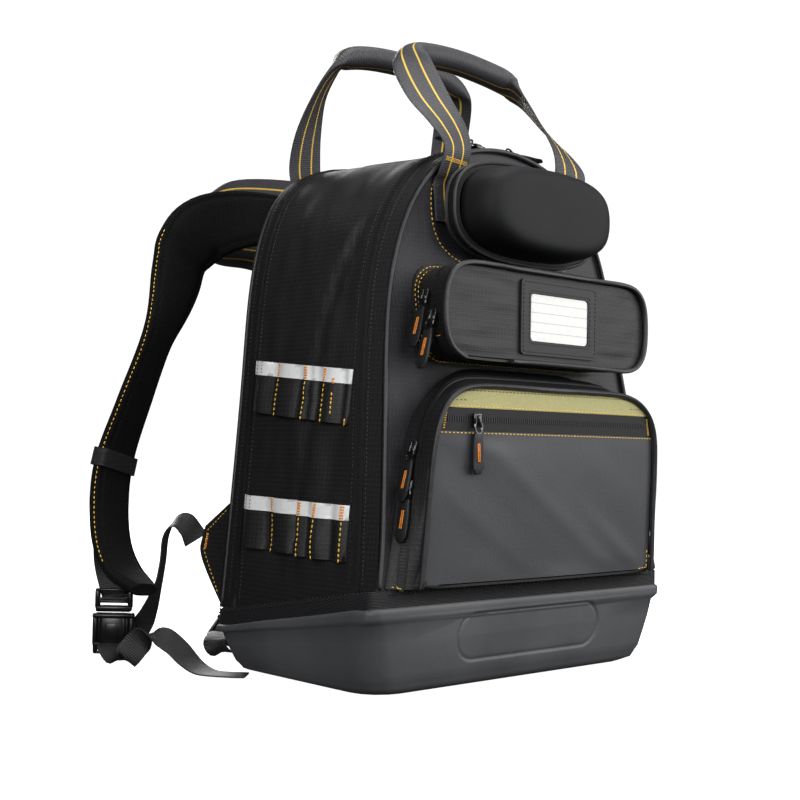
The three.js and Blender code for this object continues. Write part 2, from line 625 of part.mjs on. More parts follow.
// A piping lies against the gusset's edge and ends just above the trim.
function archPiping(depth, yShift) {
  const points = archLine(depth, CLOTH / 2).map(({ x, y, z }) => {
    const trimTop = lipHeight(y + yShift) + TRIM_HEIGHT;
    return toPoint(x, y + yShift, Math.max(z, trimTop + SEAT + PIPING_RADIUS / 2));
  });
  return tubeBody(points, PIPING_RADIUS, 32);
}
const pipingStep = PIPING_RADIUS + CLEARANCE;
add('front_piping', archPiping(0, -pipingStep), vinyl());
add('rear_piping', archPiping(1, pipingStep), webbing());

// Tool loops: a band stitched to the side at intervals, so that it stands off between them,
// with a reflective strip along its top.
const LOOP_DEPTHS = [0.16, 0.885];

// How far out the gusset's outer face stands at a y and a height, read along the straight
// lines between the depths where it is folded.
function sideFace(y, z) {
  const front = readTable(ARCH, frontHeight, z, frontPlane);
  const depth = (y - front) / (BODY_REAR - front);
  const after = Math.max(GUSSET_DEPTHS.findIndex((d) => d >= depth), 1);
  const [low, high] = [GUSSET_DEPTHS[after - 1], GUSSET_DEPTHS[after]];
  const share = (depth - low) / (high - low);
  const ends = [archLine(low, 0), archLine(high, 0)];
  const line = ends[0].map((p, i) => p.clone().lerp(ends[1][i], share)).slice(0, ARCH.length);
  return readTable(line, (p) => p.z, z, (p) => -p.x);
}

function addLoops(level, side, top, slope, stitches) {
  const stepsPerLoop = 3;
  const stations = [];
  for (let i = 1; i < stitches.length; i += 1) {
    const span = stitches[i] - stitches[i - 1];
    for (let step = i === 1 ? 0 : 1; step <= stepsPerLoop; step += 1) {
      const share = step / stepsPerLoop;
      const arch = Math.sin(Math.PI * share) ** 0.7;
      const depth = mix(...LOOP_DEPTHS, stitches[i - 1] + span * share);
      stations.push([depth, arch * LOOP_DEPTH * Math.min(span / 0.2, 1)]);
    }
  }
  const front = readTable(ARCH, frontHeight, top, frontPlane);
  const sheet = (drops, lift) => drops.map((drop) => stations.map(([depth, stand]) => {
    const y = mix(front, BODY_REAR, depth);
    const z = top + slope * y - drop;
    return toPoint(side * (sideFace(y, z) + SEAT + stand + lift), y, z);
  }));
  const drops = [0, REFLECTOR_HEIGHT, LOOP_BAND_HEIGHT];
  const band = wallBody(sheet(drops, WEBBING), sheet(drops, 0));
  const edge = SEAT;
  const stripDrops = [edge, REFLECTOR_HEIGHT];
  const lift = WEBBING + CLEARANCE;
  const strip = wallBody(sheet(stripDrops, lift + STRIP), sheet(stripDrops, lift));
  const sideName = side < 0 ? 'left' : 'right';
  add(`${level}_loops_${sideName}`, band, cloth());
  add(`${level}_reflector_${sideName}`, strip, reflective());
}
for (const side of [-1, 1]) {
  addLoops('upper', side, UPPER_LOOPS_TOP, UPPER_LOOPS_SLOPE, UPPER_STITCHES);
  addLoops('lower', side, LOWER_LOOPS_TOP, LOWER_LOOPS_SLOPE, LOWER_STITCHES);
}

// Lower pocket: a gusset that stands out from the front panel, with three panels in its mouth.
const pocketBottom = LIP_FRONT_HEIGHT + TRIM_HEIGHT + 2 * CLEARANCE;
const pocketHeight = (row) => mix(pocketBottom, POCKET_TOP, row.height);
const pocketHalfWidth = (row) => row.front * POCKET_HALF_WIDTH;

// The y of the pocket's front at a place on it.
function pocketFace(x, z) {
  const reach = readTable(POCKET, pocketHeight, z, (row) => row.reach);
  const share = Math.min(Math.abs(x) / POCKET_HALF_WIDTH, 1);
  return -POCKET_FRONT * reach - POCKET_BULGE * (1 - share * share);
}

// The pocket's outline as a closed line: left edge upward, top, right edge down, bottom.
function pocketLine(halfWidth, widthOf, top) {
  const left = POCKET.map((row) => [
    -halfWidth * widthOf(row),
    mix(pocketBottom, top, row.height),
  ]);
  const right = left.slice(0, -1).reverse().map(([x, z]) => [-x, z]);
  const bottom = [0.6, 0.3, 0, -0.3, -0.6].map((share) => [share * halfWidth, pocketBottom]);
  return [...left, ...right, ...bottom];
}
const pocketFrontLine = pocketLine(POCKET_HALF_WIDTH, (row) => row.front, POCKET_TOP);
const pocketRearLine = pocketLine(POCKET_REAR_HALF_WIDTH, (row) => row.rear, POCKET_REAR_TOP);

// One ring of a wall between a rear line that lies on something and a front line on a face.
function gussetRing({ rearLine, rearY, frontLine, frontY }, share, inset) {
  const middle = rearLine.map((p, i) => [
    mix(p[0], frontLine[i][0], share),
    mix(p[1], frontLine[i][1], share),
  ]);
  return insetLine(middle, () => inset, true).map(([x, z]) =>
    toPoint(x, mix(rearY(x, z), frontY(x, z), share), z));
}
function gussetBody(lines, shares, thickness) {
  const sheet = (inset) => shares.map((share) => gussetRing(lines, share, inset));
  return wallBody(sheet(0), sheet(thickness), true);
}
const onPanel = (x, z) => frontFace(x, z) - SEAT;
const pocketLines = {
  rearLine: pocketRearLine, rearY: onPanel, frontLine: pocketFrontLine, frontY: pocketFace,
};
const SIDE_ZIP_SHARES = [0.36, 0.64];
add('pocket_gusset', gussetBody(pocketLines, [0, ...SIDE_ZIP_SHARES, 1], POCKET_CLOTH), cloth());

// The gussets narrow behind their mouths, so what fills a mouth is set in a little more.
const mouthInset = POCKET_CLOTH + 2 * SEAT;

// A strip of the pocket's front between two heights, inside the gusset's mouth.
function pocketStrip(low, high) {
  const mouth = insetLine(pocketFrontLine, () => mouthInset, true);
  const left = mouth.slice(0, POCKET.length - 1);
  const between = left.map(([, z]) => z).filter((z) => z > low + 1 && z < high - 1);
  const heights = [low, ...between, high];
  const columns = 10;
  const sheet = (back) => heights.map((z) => {
    const half = -readTable(left, (p) => p[1], z, (p) => p[0]);
    const row = [];
    for (let i = 0; i <= columns; i += 1) {
      const x = mix(-half, half, i / columns);
      row.push(toPoint(x, pocketFace(x, z) + back, z));
    }
    return row;
  });
  return wallBody(sheet(0), sheet(POCKET_CLOTH));
}
add('pocket_panel', pocketStrip(pocketBottom + mouthInset, POCKET_ZIP_BOTTOM), coated());
add('pocket_zip_band', pocketStrip(POCKET_ZIP_BOTTOM + CLEARANCE, POCKET_ZIP_TOP), cloth());
add('pocket_top_band', pocketStrip(POCKET_ZIP_TOP + CLEARANCE, POCKET_TOP - mouthInset), olive());

function pocketPiping() {
  const line = insetLine(pocketFrontLine, () => POCKET_CLOTH / 2, true);
  const points = line.slice(0, 2 * POCKET.length - 1).map(([x, z]) =>
    toPoint(x, pocketFace(x, z) - pipingStep, z));
  return tubeBody(points, PIPING_RADIUS, 28);
}
add('pocket_piping', pocketPiping(), vinyl());

// Pod pocket: a backing on the front panel, a gusset, a face with a window, and a piping.
// A closed line round a rectangle with round corners: left edge upward, then clockwise.
function roundedLine(centreX, centreZ, halfWidth, halfHeight, radius) {
  const cornerSteps = 3;
  const [w, h] = [halfWidth - radius, halfHeight - radius];
  const line = [];
  for (const [sx, sz, turn] of [[-1, -1, 1.5], [-1, 1, 1], [1, 1, 0.5], [1, -1, 0]]) {
    for (let i = 0; i <= cornerSteps; i += 1) {
      const angle = Math.PI * (turn - (0.5 * i) / cornerSteps);
      const corner = [sx * w + radius * Math.cos(angle), sz * h + radius * Math.sin(angle)];
      line.push([centreX + corner[0], centreZ + corner[1]]);
    }
    if (sx === -sz) {
      for (const share of [0.5, 0, -0.5]) {
        line.push([centreX + sx * share * w, centreZ + sz * halfHeight]);
      }
    }
  }
  return line;
}

// A sheet with round corners that follows a face, from its front to thickness behind it.
function roundedSheet(
  centreX, centreZ, halfWidth, halfHeight, radius, yOf, thickness, columns = 6,
) {
  const rows = [];
  for (const side of [-1, 1]) {
    for (const degrees of side < 0 ? [90, 60, 30, 0] : [0, 30, 60, 90]) {
      const angle = THREE.MathUtils.degToRad(degrees);
      const z = centreZ + side * (halfHeight - radius + radius * Math.sin(angle));
      rows.push([z, halfWidth - radius + radius * Math.cos(angle)]);
    }
  }
  const sheet = (back) => rows.map(([z, half]) => {
    const row = [];
    for (let i = 0; i <= columns; i += 1) {
      const x = centreX + mix(-half, half, i / columns);
      row.push(toPoint(x, yOf(x, z) + back, z));
    }
    return row;
  });
  return wallBody(sheet(0), sheet(thickness));
}

const podFace = (x) => {
  const share = (x - POD_CENTRE_X) / POD_HALF_WIDTH;
  return -POD_FRONT - POD_BULGE * (1 - share * share);
};
const backingFront = (x, z) => onPanel(x, z) - POCKET_CLOTH;
const podRearHalfWidth = POD_HALF_WIDTH - POD_REAR_INSET;
add('pod_backing', roundedSheet(
  POD_CENTRE_X, POD_CENTRE_Z, podRearHalfWidth + BACKING_SIDE_MARGIN,
  POD_HALF_HEIGHT + BACKING_EDGE_MARGIN, POD_RADIUS, backingFront, POCKET_CLOTH,
), cloth());
const podFrontLine = roundedLine(
  POD_CENTRE_X, POD_CENTRE_Z, POD_HALF_WIDTH, POD_HALF_HEIGHT, POD_RADIUS,
);
const podRearLine = roundedLine(
  POD_CENTRE_X, POD_CENTRE_Z, podRearHalfWidth, POD_HALF_HEIGHT, POD_RADIUS,
);
const onBacking = (x, z) => backingFront(x, z) - SEAT;
add('pod_gusset', gussetBody({
  rearLine: podRearLine, rearY: onBacking, frontLine: podFrontLine, frontY: podFace,
}, [0, 1], POCKET_CLOTH), cloth());
add('pod_face', roundedSheet(
  POD_CENTRE_X, POD_CENTRE_Z, POD_HALF_WIDTH - mouthInset, POD_HALF_HEIGHT - mouthInset,
  POD_RADIUS - mouthInset, podFace, POCKET_CLOTH,
), cloth());

function podPiping() {
  const line = insetLine(podFrontLine, () => POCKET_CLOTH / 2, true);
  const points = line.map(([x, z]) => toPoint(x, podFace(x) - pipingStep, z));
  return tubeBody(points, PIPING_RADIUS, 34);
}
add('pod_piping', podPiping(), vinyl());

const WINDOW_RADIUS = 4;
function windowFrame() {
  const rings = [0, WINDOW_BORDER].map((inset) => roundedLine(
    WINDOW_CENTRE_X, POD_CENTRE_Z, WINDOW_HALF_WIDTH - inset, WINDOW_HALF_HEIGHT - inset,
    WINDOW_RADIUS,
  ));
  const sheet = (lift) => rings.map((ring) => ring.map(([x, z]) =>
    toPoint(x, podFace(x) - SEAT - lift, z)));
  return wallBody(sheet(WEBBING), sheet(0), true);
}
add('pod_window_frame', windowFrame(), vinyl());
const cardInset = WINDOW_BORDER + SEAT;
add('pod_card', roundedSheet(
  WINDOW_CENTRE_X, POD_CENTRE_Z, WINDOW_HALF_WIDTH - cardInset,
  WINDOW_HALF_HEIGHT - cardInset, WINDOW_RADIUS, (x) => podFace(x) - SEAT - STRIP, STRIP, 2,
), materialOf(0xf2f2f0, 0.35));

// Glasses case: two moulded half shells that meet at a zip.
const CASE_SIDES = 20;
const CASE_SQUARENESS = 2.8;
function caseRing(size, wall, yOf) {
  const ring = [];
  for (let i = 0; i < CASE_SIDES; i += 1) {
    const angle = (-2 * Math.PI * i) / CASE_SIDES;
    const power = (value) => Math.sign(value) * Math.abs(value) ** (2 / CASE_SQUARENESS);
    const x = Math.max(size * CASE_HALF_WIDTH - wall, 0) * power(Math.cos(angle));
    const z = Math.max(size * CASE_HALF_HEIGHT - wall, 0) * power(Math.sin(angle));
    ring.push(toPoint(x, yOf(x, CASE_CENTRE_Z + z), CASE_CENTRE_Z + z));
  }
  return ring;
}

// The case's back lies over the front handle's webbing, which is sewn to the panel.
const caseBack = (x, z) => frontFace(x, z) - 3 * SEAT - WEBBING;
const caseZipRear = -CASE_ZIP_DEPTH;
const caseZipFront = caseZipRear - CASE_ZIP_WIDTH;
function caseRearHalf() {
  const sections = [[0, 0], [0.45, 0], [0.76, 0], [0.88, 0.4], [1, 0.85], [1, 1]];
  const sheet = (wall) => sections.map(([size, out]) => caseRing(size, wall, (x, z) =>
    mix(caseBack(x, z) - (out === 1 ? 0 : wall), caseZipRear + CLEARANCE, out)));
  return wallBody(sheet(0), sheet(CASE_WALL), true);
}
function caseZip() {
  const rows = [caseZipRear, caseZipFront];
  const sheet = (wall) => rows.map((y) => caseRing(1.02, wall, () => y));
  return wallBody(sheet(0), sheet(2 * CASE_WALL), true);
}
function caseFrontHalf() {
  const mouth = caseZipFront - CLEARANCE;
  const sheet = (wall) => CASE_SECTIONS.map(({ size, out }) => caseRing(size, wall, () =>
    mix(mouth, -CASE_FRONT, out) + wall * out));
  return wallBody(sheet(0), sheet(CASE_WALL), true);
}
add('case_rear_half', caseRearHalf(), materialOf(0x323337, 0.8));
add('case_zip', caseZip(), coil());
add('case_front_half', caseFrontHalf(), materialOf(0x323337, 0.8));

// Straps and handles: a section is laid across each point of a route, along the way its
// width points, and shares between flat webbing and a rounded pad. An end that is sewn
// square to the back panel says so.
const PAD_SIDES = 8;
const FLAT_SIDES = 4;
function sectionRings(stations, sides = PAD_SIDES) {
  const last = stations.length - 1;
  return stations.map((station, i) => {
    const [before, after] = [stations[Math.max(i - 1, 0)], stations[Math.min(i + 1, last)]];
    const tangent = after.point.clone().sub(before.point).normalize();
    if (station.square) {
      tangent.set(0, 1, 0);
    }
    const across = station.across.clone();
    across.addScaledVector(tangent, -across.dot(tangent)).normalize();
    const through = new THREE.Vector3().crossVectors(tangent, across);
    const roundness = sides === FLAT_SIDES ? 0 : station.roundness;
    const ring = [];
    for (let side = 0; side < sides; side += 1) {
      const angle = (2 * Math.PI * (side + 0.5)) / sides;
      const power = (value) => Math.sign(value) * Math.abs(value) ** roundness;
      ring.push(station.point.clone()
        .addScaledVector(across, (station.width / 2) * power(Math.cos(angle)))
        .addScaledVector(through, (station.thickness / 2) * power(Math.sin(angle))));
    }
    return ring;
  });
}

// Spreads more stations along a route, by a curve through the given ones.
function smoothStations(stations, perSpan) {
  const path = new THREE.CatmullRomCurve3(stations.map((s) => s.point), false, 'centripetal');
  const spans = stations.length - 1;
  const result = [];
  for (let i = 0; i <= spans * perSpan; i += 1) {
    const span = Math.min(Math.floor(i / perSpan), spans - 1);
    const share = i / perSpan - span;
    const [a, b] = [stations[span], stations[span + 1]];
    result.push({
      point: path.getPoint(i / (spans * perSpan)),
      across: a.across.clone().lerp(b.across, share),
      width: mix(a.width, b.width, share),
      thickness: mix(a.thickness, b.thickness, share),
      roundness: mix(a.roundness, b.roundness, share),
      square: (i === 0 && a.square) || (i === spans * perSpan && b.square),
    });
  }
  return result;
}
const webbingStation = (point, across, width, fold = 0) => ({
  point,
  across,
  width: mix(width, 2 * GRIP_HALF_WIDTH, fold),
  thickness: mix(WEBBING, 2 * GRIP_RADIUS, fold),
  roundness: mix(0.3, 0.9, fold),
});

function topHandle(rows, footX, foot, footTop, top) {
  const half = foot.map(([y, z]) => ({ x: footX, y, z, turn: 0, fold: 0 }));
  for (const row of rows) {
    half.push({
      x: row.across * footX,
      y: mix(-BODY_FRONT_AT_TOP, BODY_REAR, row.depth),
      z: mix(footTop, top, row.height),
      turn: row.turn,
      fold: row.fold,
    });
  }
  const station = (row, side) => {
    const angle = (row.turn * Math.PI) / 2;
    const across = toPoint(-side * Math.cos(angle), -Math.sin(angle), 0);
    return webbingStation(toPoint(side * row.x, row.y, row.z), across, HANDLE_WIDTH, row.fold);
  };
  const left = half.map((row) => station(row, -1));
  const right = half.slice(0, -1).reverse().map((row) => station(row, 1));
  return loftBody(sectionRings(smoothStations([...left, ...right], 2)));
}
const footStep = SEAT + WEBBING / 2;
const onPanelWebbing = (z) => frontFace(FRONT_FOOT_X - HANDLE_WIDTH / 2, z) - footStep;
const rearFace = (x, z) => {
  const half = readTable(ARCH, frontHeight, z, (row) => row.rear * BODY_REAR_HALF_WIDTH);
  return BODY_REAR + rearBulge(z) * (1 - Math.min(Math.abs(x) / half, 1) ** 4);
};
const onBackWebbing = (z) => rearFace(0, z) + footStep;
function footRows(bottom, top, yAt) {
  const steps = 2;
  return Array.from({ length: steps + 1 }, (_, i) => {
    const z = mix(bottom, top, i / steps);
    return [yAt(z), z];
  });
}
add('handle_front', topHandle(
  FRONT_HANDLE, FRONT_FOOT_X,
  footRows(FRONT_FOOT_BOTTOM, FRONT_FOOT_TOP, onPanelWebbing),
  FRONT_FOOT_TOP, FRONT_HANDLE_TOP,
), webbing());
add('handle_rear', topHandle(
  REAR_HANDLE, REAR_FOOT_X,
  footRows(REAR_FOOT_BOTTOM, REAR_FOOT_TOP, onBackWebbing),
  REAR_FOOT_TOP, REAR_HANDLE_TOP,
), webbing());

function haulLoop() {
  const stations = HAUL_LOOP.map((row) => {
    const x = row.across * STRAP_SPLAY;
    const z = row.height * STRAP_ROOT_HEIGHT;
    const y = rearFace(0, z - HANDLE_WIDTH / 2) + SEAT + row.back * HAUL_REACH;
    const across = toPoint(row.wx, row.wy, row.wz);
    const station = webbingStation(toPoint(x, y, z), across, HANDLE_WIDTH, row.fold);
    return { ...station, square: row.back === 0 };
  });
  return loftBody(sectionRings(smoothStations(stations, 2)));
}
add('haul_loop', haulLoop(), webbing());

function padStations(rows, side) {
  const stations = rows.map((row) => {
    const x = side * row.out * STRAP_SPLAY;
    const z = row.height * STRAP_ROOT_HEIGHT;
    const seat = rearFace(x, z - PAD_WIDTH / 4) + CLEARANCE - SEAT;
    const behind = BODY_REAR + BACK_BULGE + row.back * STRAP_REACH;
    return {
      point: toPoint(x, row.back === 0 ? seat : behind, z),
      across: toPoint(row.wx, row.wy, row.wz),
      width: row.width * PAD_WIDTH,
      thickness: PAD_THICKNESS,
      roundness: 0.55,
      square: row.back === 0,
    };
  });
  return smoothStations(stations, 2);
}

// A side release buckle: a plate with a slot near each end for webbing.
const SLOT_FROM_END = 5;
const SLOT_HEIGHT = 8;
function buckleFrame({ out, back, height, long, wide }) {
  const up = toPoint(...long).normalize();
  const across = toPoint(...wide);
  across.addScaledVector(up, -across.dot(up)).normalize();
  const through = new THREE.Vector3().crossVectors(across, up);
  const middle = toPoint(
    out * STRAP_SPLAY, BODY_REAR + BACK_BULGE + back * STRAP_REACH, height * BUCKLE_LENGTH,
  );
  const slot = BUCKLE_LENGTH / 2 - SLOT_FROM_END - SLOT_HEIGHT / 2;
  const along = (distance) => middle.clone().addScaledVector(up, distance);
  return { up, across, through, middle, top: along(slot), bottom: along(-slot) };
}

function buckleBody({ up, across, through, middle }) {
  const [w, h, corner] = [BUCKLE_WIDTH / 2, BUCKLE_LENGTH / 2, BUCKLE_CORNER];
  const outline = new THREE.Shape([
    [-w + corner, -h], [w - corner, -h], [w, -h + corner], [w, h - corner],
    [w - corner, h], [-w + corner, h], [-w, h - corner], [-w, -h + corner],
  ].map((p) => new THREE.Vector2(...p)));
  for (const side of [-1, 1]) {
    const [near, far] = [side * (h - SLOT_FROM_END), side * (h - SLOT_FROM_END - SLOT_HEIGHT)];
    const half = LOWER_WEBBING_WIDTH / 2 + 2 * SEAT;
    outline.holes.push(new THREE.Path([
      [-half, near], [half, near], [half, far], [-half, far],
    ].map((p) => new THREE.Vector2(...p))));
  }
  const plate = new THREE.ExtrudeGeometry(outline, { depth: BUCKLE_THICKNESS, bevelEnabled: false });
  plate.translate(0, 0, -BUCKLE_THICKNESS / 2);
  plate.applyMatrix4(new THREE.Matrix4().makeBasis(across, up, through).setPosition(middle));
  return plate;
}

const looseStation = (row) => webbingStation(
  toPoint(
    row.out * STRAP_SPLAY,
    BODY_REAR + BACK_BULGE + row.back * STRAP_REACH,
    row.height * WING_TOP,
  ),
  toPoint(row.wx, row.wy, row.wz),
  LOWER_WEBBING_WIDTH,
);

// Webbing from a wing through a buckle's lower slot and out to a loose end. into says from
// which side of the buckle it comes.
function lowerWebbing(before, frame, tail, into) {
  const at = (through, up) => webbingStation(
    frame.bottom.clone().addScaledVector(frame.through, through).addScaledVector(frame.up, up),
    frame.across, LOWER_WEBBING_WIDTH,
  );
  const reach = into * (BUCKLE_THICKNESS / 2 + WEBBING_TURN);
  const round = [at(-reach, WEBBING_TURN / 3), at(0, 0), at(reach, -WEBBING_TURN / 3)];
  const stations = [...before.map(looseStation), ...round, ...tail.map(looseStation)];
  return loftBody(sectionRings(smoothStations(stations, 2), FLAT_SIDES));
}

// The webbing from the outside of a pad down into its buckle's upper slot.
function strapWebbing(rows, frame) {
  const slot = [-1, 0, 0.7].map((share) => webbingStation(
    frame.top.clone().addScaledVector(frame.through, share * (BUCKLE_THICKNESS / 2 + WEBBING_TURN)),
    frame.across, LOWER_WEBBING_WIDTH,
  ));
  return loftBody(sectionRings([...rows.map(looseStation), ...slot], FLAT_SIDES));
}

// An elastic band round a pad.
const KEEPER_FROM_TIP = 9;
function strapKeeper(stations) {
  const first = stations.length - KEEPER_FROM_TIP;
  const sheet = (growth) => sectionRings(stations.map((station) => ({
    ...station,
    width: station.width + growth,
    thickness: station.thickness + growth,
  }))).slice(first, first + 2);
  return wallBody(sheet(2 * SEAT + 2 * WEBBING), sheet(2 * SEAT), true);
}

// A cloth tab behind the gusset's rear edge that the lower webbing is sewn into.
const WING_ROWS = [
  { base: 0.4, tip: 0.68 },
  { base: 0.7, tip: 0.76 },
  { base: 1, tip: 0.85 },
];
function wing(side) {
  const start = BODY_REAR + 2 * PIPING_RADIUS + CLEARANCE;
  const sheet = (shift) => WING_ROWS.map(({ base, tip }) => [0, 1].map((share) => {
    const z = mix(base, tip, share) * WING_TOP;
    const edge = sideFace(BODY_REAR, base * WING_TOP) - CLOTH / 2;
    return toPoint(side * (edge + shift), start + share * WING_LENGTH, z);
  }));
  return wallBody(sheet(CLOTH / 2), sheet(-CLOTH / 2));
}

const STRAPS = [
  {
    name: 'left', side: -1, rows: LEFT_STRAP, upper: LEFT_UPPER,
    lower: LEFT_LOWER, tail: LEFT_TAIL, into: 1,
  },
  {
    name: 'right', side: 1, rows: RIGHT_STRAP, upper: RIGHT_UPPER,
    lower: RIGHT_LOWER, tail: RIGHT_TAIL, into: -1,
  },
];
for (const { name, side, rows, upper, lower, tail, into } of STRAPS) {
  const pad = padStations(rows, side);
  const frame = buckleFrame(BUCKLES[name]);
  add(`shoulder_pad_${name}`, loftBody(sectionRings(pad)), mesh3d());
  add(`strap_keeper_${name}`, strapKeeper(pad), webbing());
  add(`strap_webbing_${name}`, strapWebbing(upper, frame), webbing());
  add(`buckle_${name}`, buckleBody(frame), plastic());
  add(`wing_${name}`, wing(side), cloth());
  add(`lower_webbing_${name}`, lowerWebbing(lower, frame, tail, into), webbing());
}

// Zip pulls: a slider, a short link and a cloth tab in one outline, laid off their zips.
const PULL_THICKNESS = 2.4;
const SLIDER_WIDTH = 9;
const SLIDER_LENGTH = 12;
const TAB_WIDTH = 11;
const TAB_LENGTH = 32;
const PULL_LINK = 4;
const TOP_PULL_LINK = 14;
function zipPull(anchor, along, facing, link) {
  const [s, t, n] = [SLIDER_WIDTH / 2, TAB_WIDTH / 2, 1.5];
  const linkEnd = SLIDER_LENGTH + link;
  const outline = new THREE.Shape([
    [-s, 0], [s, 0], [s, SLIDER_LENGTH], [n, SLIDER_LENGTH], [n, linkEnd], [t, linkEnd],
    [t, linkEnd + TAB_LENGTH], [-t, linkEnd + TAB_LENGTH], [-t, linkEnd], [-n, linkEnd],
    [-n, SLIDER_LENGTH], [-s, SLIDER_LENGTH],
  ].map((p) => new THREE.Vector2(...p)));
  const pull = new THREE.ExtrudeGeometry(outline, { depth: PULL_THICKNESS, bevelEnabled: false });
  const y = toPoint(...along).normalize();
  const z = toPoint(...facing);
  z.addScaledVector(y, -z.dot(y)).normalize();
  const x = new THREE.Vector3().crossVectors(y, z);
  pull.applyMatrix4(new THREE.Matrix4().makeBasis(x, y, z).setPosition(anchor));
  return pull;
}
const zipShare = (MAIN_ZIP_DEPTHS[0] + MAIN_ZIP_DEPTHS[1]) / 2;
const zipY = mix(-BODY_FRONT_AT_TOP, BODY_REAR, zipShare);
const zipTop = BODY_TOP + CLEARANCE + TAPE - SEAT;
const topPull = (side) => zipPull(
  toPoint(side * SLIDER_WIDTH, zipY, zipTop), [side, -0.05, 0.02], [0, 0, 1], TOP_PULL_LINK,
);
add('main_zip_pull_left', topPull(-1), plastic());
add('main_zip_pull_right', topPull(1), plastic());

// The zip tape runs round the middle of the pocket's gusset, from base to base.
function pocketSideZip() {
  const count = 2 * POCKET.length - 1;
  const sheet = (lift) => SIDE_ZIP_SHARES.map((share) =>
    gussetRing(pocketLines, share, -lift).slice(0, count));
  return wallBody(sheet(SEAT + TAPE), sheet(SEAT));
}
add('pocket_side_zip', pocketSideZip(), coil());

const PULL_ANCHOR_X = -0.66 * POCKET_HALF_WIDTH;
const pocketPullTop = mix(POCKET_ZIP_BOTTOM, POCKET_ZIP_TOP, 0.8);
add('pocket_front_pull', zipPull(
  toPoint(PULL_ANCHOR_X, pocketFace(PULL_ANCHOR_X, pocketPullTop) - 2 * SEAT, pocketPullTop),
  [0.05, 0, -1], [0, -1, 0], PULL_LINK,
), plastic());
// The side pulls hang from the zip down the pocket's left side, one above the other.
function onSideZip(z) {
  const rings = SIDE_ZIP_SHARES.map((share) =>
    gussetRing(pocketLines, share, -SEAT - TAPE).slice(0, POCKET.length));
  const point = (ring, height) => toPoint(
    readTable(ring, (p) => p.z, height, (p) => p.x),
    readTable(ring, (p) => p.z, height, (p) => p.y),
    height,
  );
  const [rear, front] = rings.map((ring) => point(ring, z));
  const below = point(rings[0], z - SLIDER_LENGTH).sub(rear);
  const facing = new THREE.Vector3().crossVectors(front.clone().sub(rear), below).normalize();
  facing.multiplyScalar(facing.x > 0 ? -1 : 1);
  return { anchor: rear.lerp(front, 0.5).addScaledVector(facing, 2 * SEAT), facing };
}
for (const [name, drop, lean] of [
  ['upper', SIDE_PULL_DROP, -0.3],
  ['lower', SIDE_PULL_DROP + SIDE_PULL_SPACING, -0.2],
]) {
  const { anchor, facing } = onSideZip(POCKET_TOP - drop);
  const pull = zipPull(anchor, [lean, 0, -1], facing.toArray(), PULL_LINK);
  add(`pocket_side_pull_${name}`, pull, plastic());
}
for (const [name, share, depth] of [['upper', 0.4, 0.45], ['lower', -0.05, 0.75]]) {
  const z = POD_CENTRE_Z + share * POD_HALF_HEIGHT;
  const x = POD_CENTRE_X - mix(podRearHalfWidth, POD_HALF_WIDTH, depth) - 4 * SEAT;
  const y = mix(onBacking(x, z), -POD_FRONT, depth);
  add(`pod_pull_${name}`, zipPull(toPoint(x, y, z), [-0.3, 0, -1], [-1, 0, 0.3], PULL_LINK), plastic());
}

export default group;
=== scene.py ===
import math

import bmesh
import bpy
from mathutils import Matrix, Vector, noise
from mathutils.bvhtree import BVHTree


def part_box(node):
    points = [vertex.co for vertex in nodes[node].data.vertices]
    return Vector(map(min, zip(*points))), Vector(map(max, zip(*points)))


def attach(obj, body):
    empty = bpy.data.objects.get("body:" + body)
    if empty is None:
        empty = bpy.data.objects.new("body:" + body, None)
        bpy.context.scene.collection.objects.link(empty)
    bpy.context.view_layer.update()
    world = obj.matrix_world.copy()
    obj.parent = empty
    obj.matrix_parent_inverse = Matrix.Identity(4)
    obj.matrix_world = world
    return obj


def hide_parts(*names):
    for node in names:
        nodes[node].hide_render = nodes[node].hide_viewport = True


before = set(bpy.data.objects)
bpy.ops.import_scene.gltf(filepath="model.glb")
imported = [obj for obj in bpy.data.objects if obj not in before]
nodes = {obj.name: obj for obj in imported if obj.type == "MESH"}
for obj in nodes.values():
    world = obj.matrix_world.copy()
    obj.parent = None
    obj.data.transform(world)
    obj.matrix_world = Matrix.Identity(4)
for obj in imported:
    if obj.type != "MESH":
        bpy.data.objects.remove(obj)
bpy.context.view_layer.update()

# ---- Camera, lights and floor ----
# A product shot: the camera is low, off the bag's left front corner, and looks slightly up.
# A large soft light stands at the right, so the front faces shine and the left side is dark.
AZIMUTH, ELEVATION, ROLL = (math.radians(a) for a in (-42.5, -2.144, 1.096))
EYE = Vector((-0.8784, -0.8948, 0.2032))
away = Vector((math.sin(AZIMUTH) * math.cos(ELEVATION),
               -math.cos(AZIMUTH) * math.cos(ELEVATION), math.sin(ELEVATION)))
level = Vector((math.cos(AZIMUTH), math.sin(AZIMUTH), 0))
above = away.cross(level)
camera = bpy.data.objects.new("camera", bpy.data.cameras.new("camera"))
camera.data.sensor_width = 36
camera.data.lens = 58.95
camera.data.clip_end = 30
axes = Matrix((level * math.cos(ROLL) + above * math.sin(ROLL),
               above * math.cos(ROLL) - level * math.sin(ROLL), away)).transposed()
camera.matrix_world = Matrix.Translation(EYE) @ axes.to_4x4()
bpy.context.scene.collection.objects.link(camera)
bpy.context.scene.camera = camera
bpy.context.scene.view_settings.view_transform = "Standard"


def soft_box(name, place, target, size, power):
    """A square area light that faces its target."""
    light = bpy.data.lights.new(name, "AREA")
    light.size = size
    light.energy = power
    lamp = bpy.data.objects.new(name, light)
    turn = (Vector(target) - Vector(place)).to_track_quat("-Z", "Y")
    lamp.matrix_world = Matrix.Translation(place) @ turn.to_matrix().to_4x4()
    bpy.context.scene.collection.objects.link(lamp)


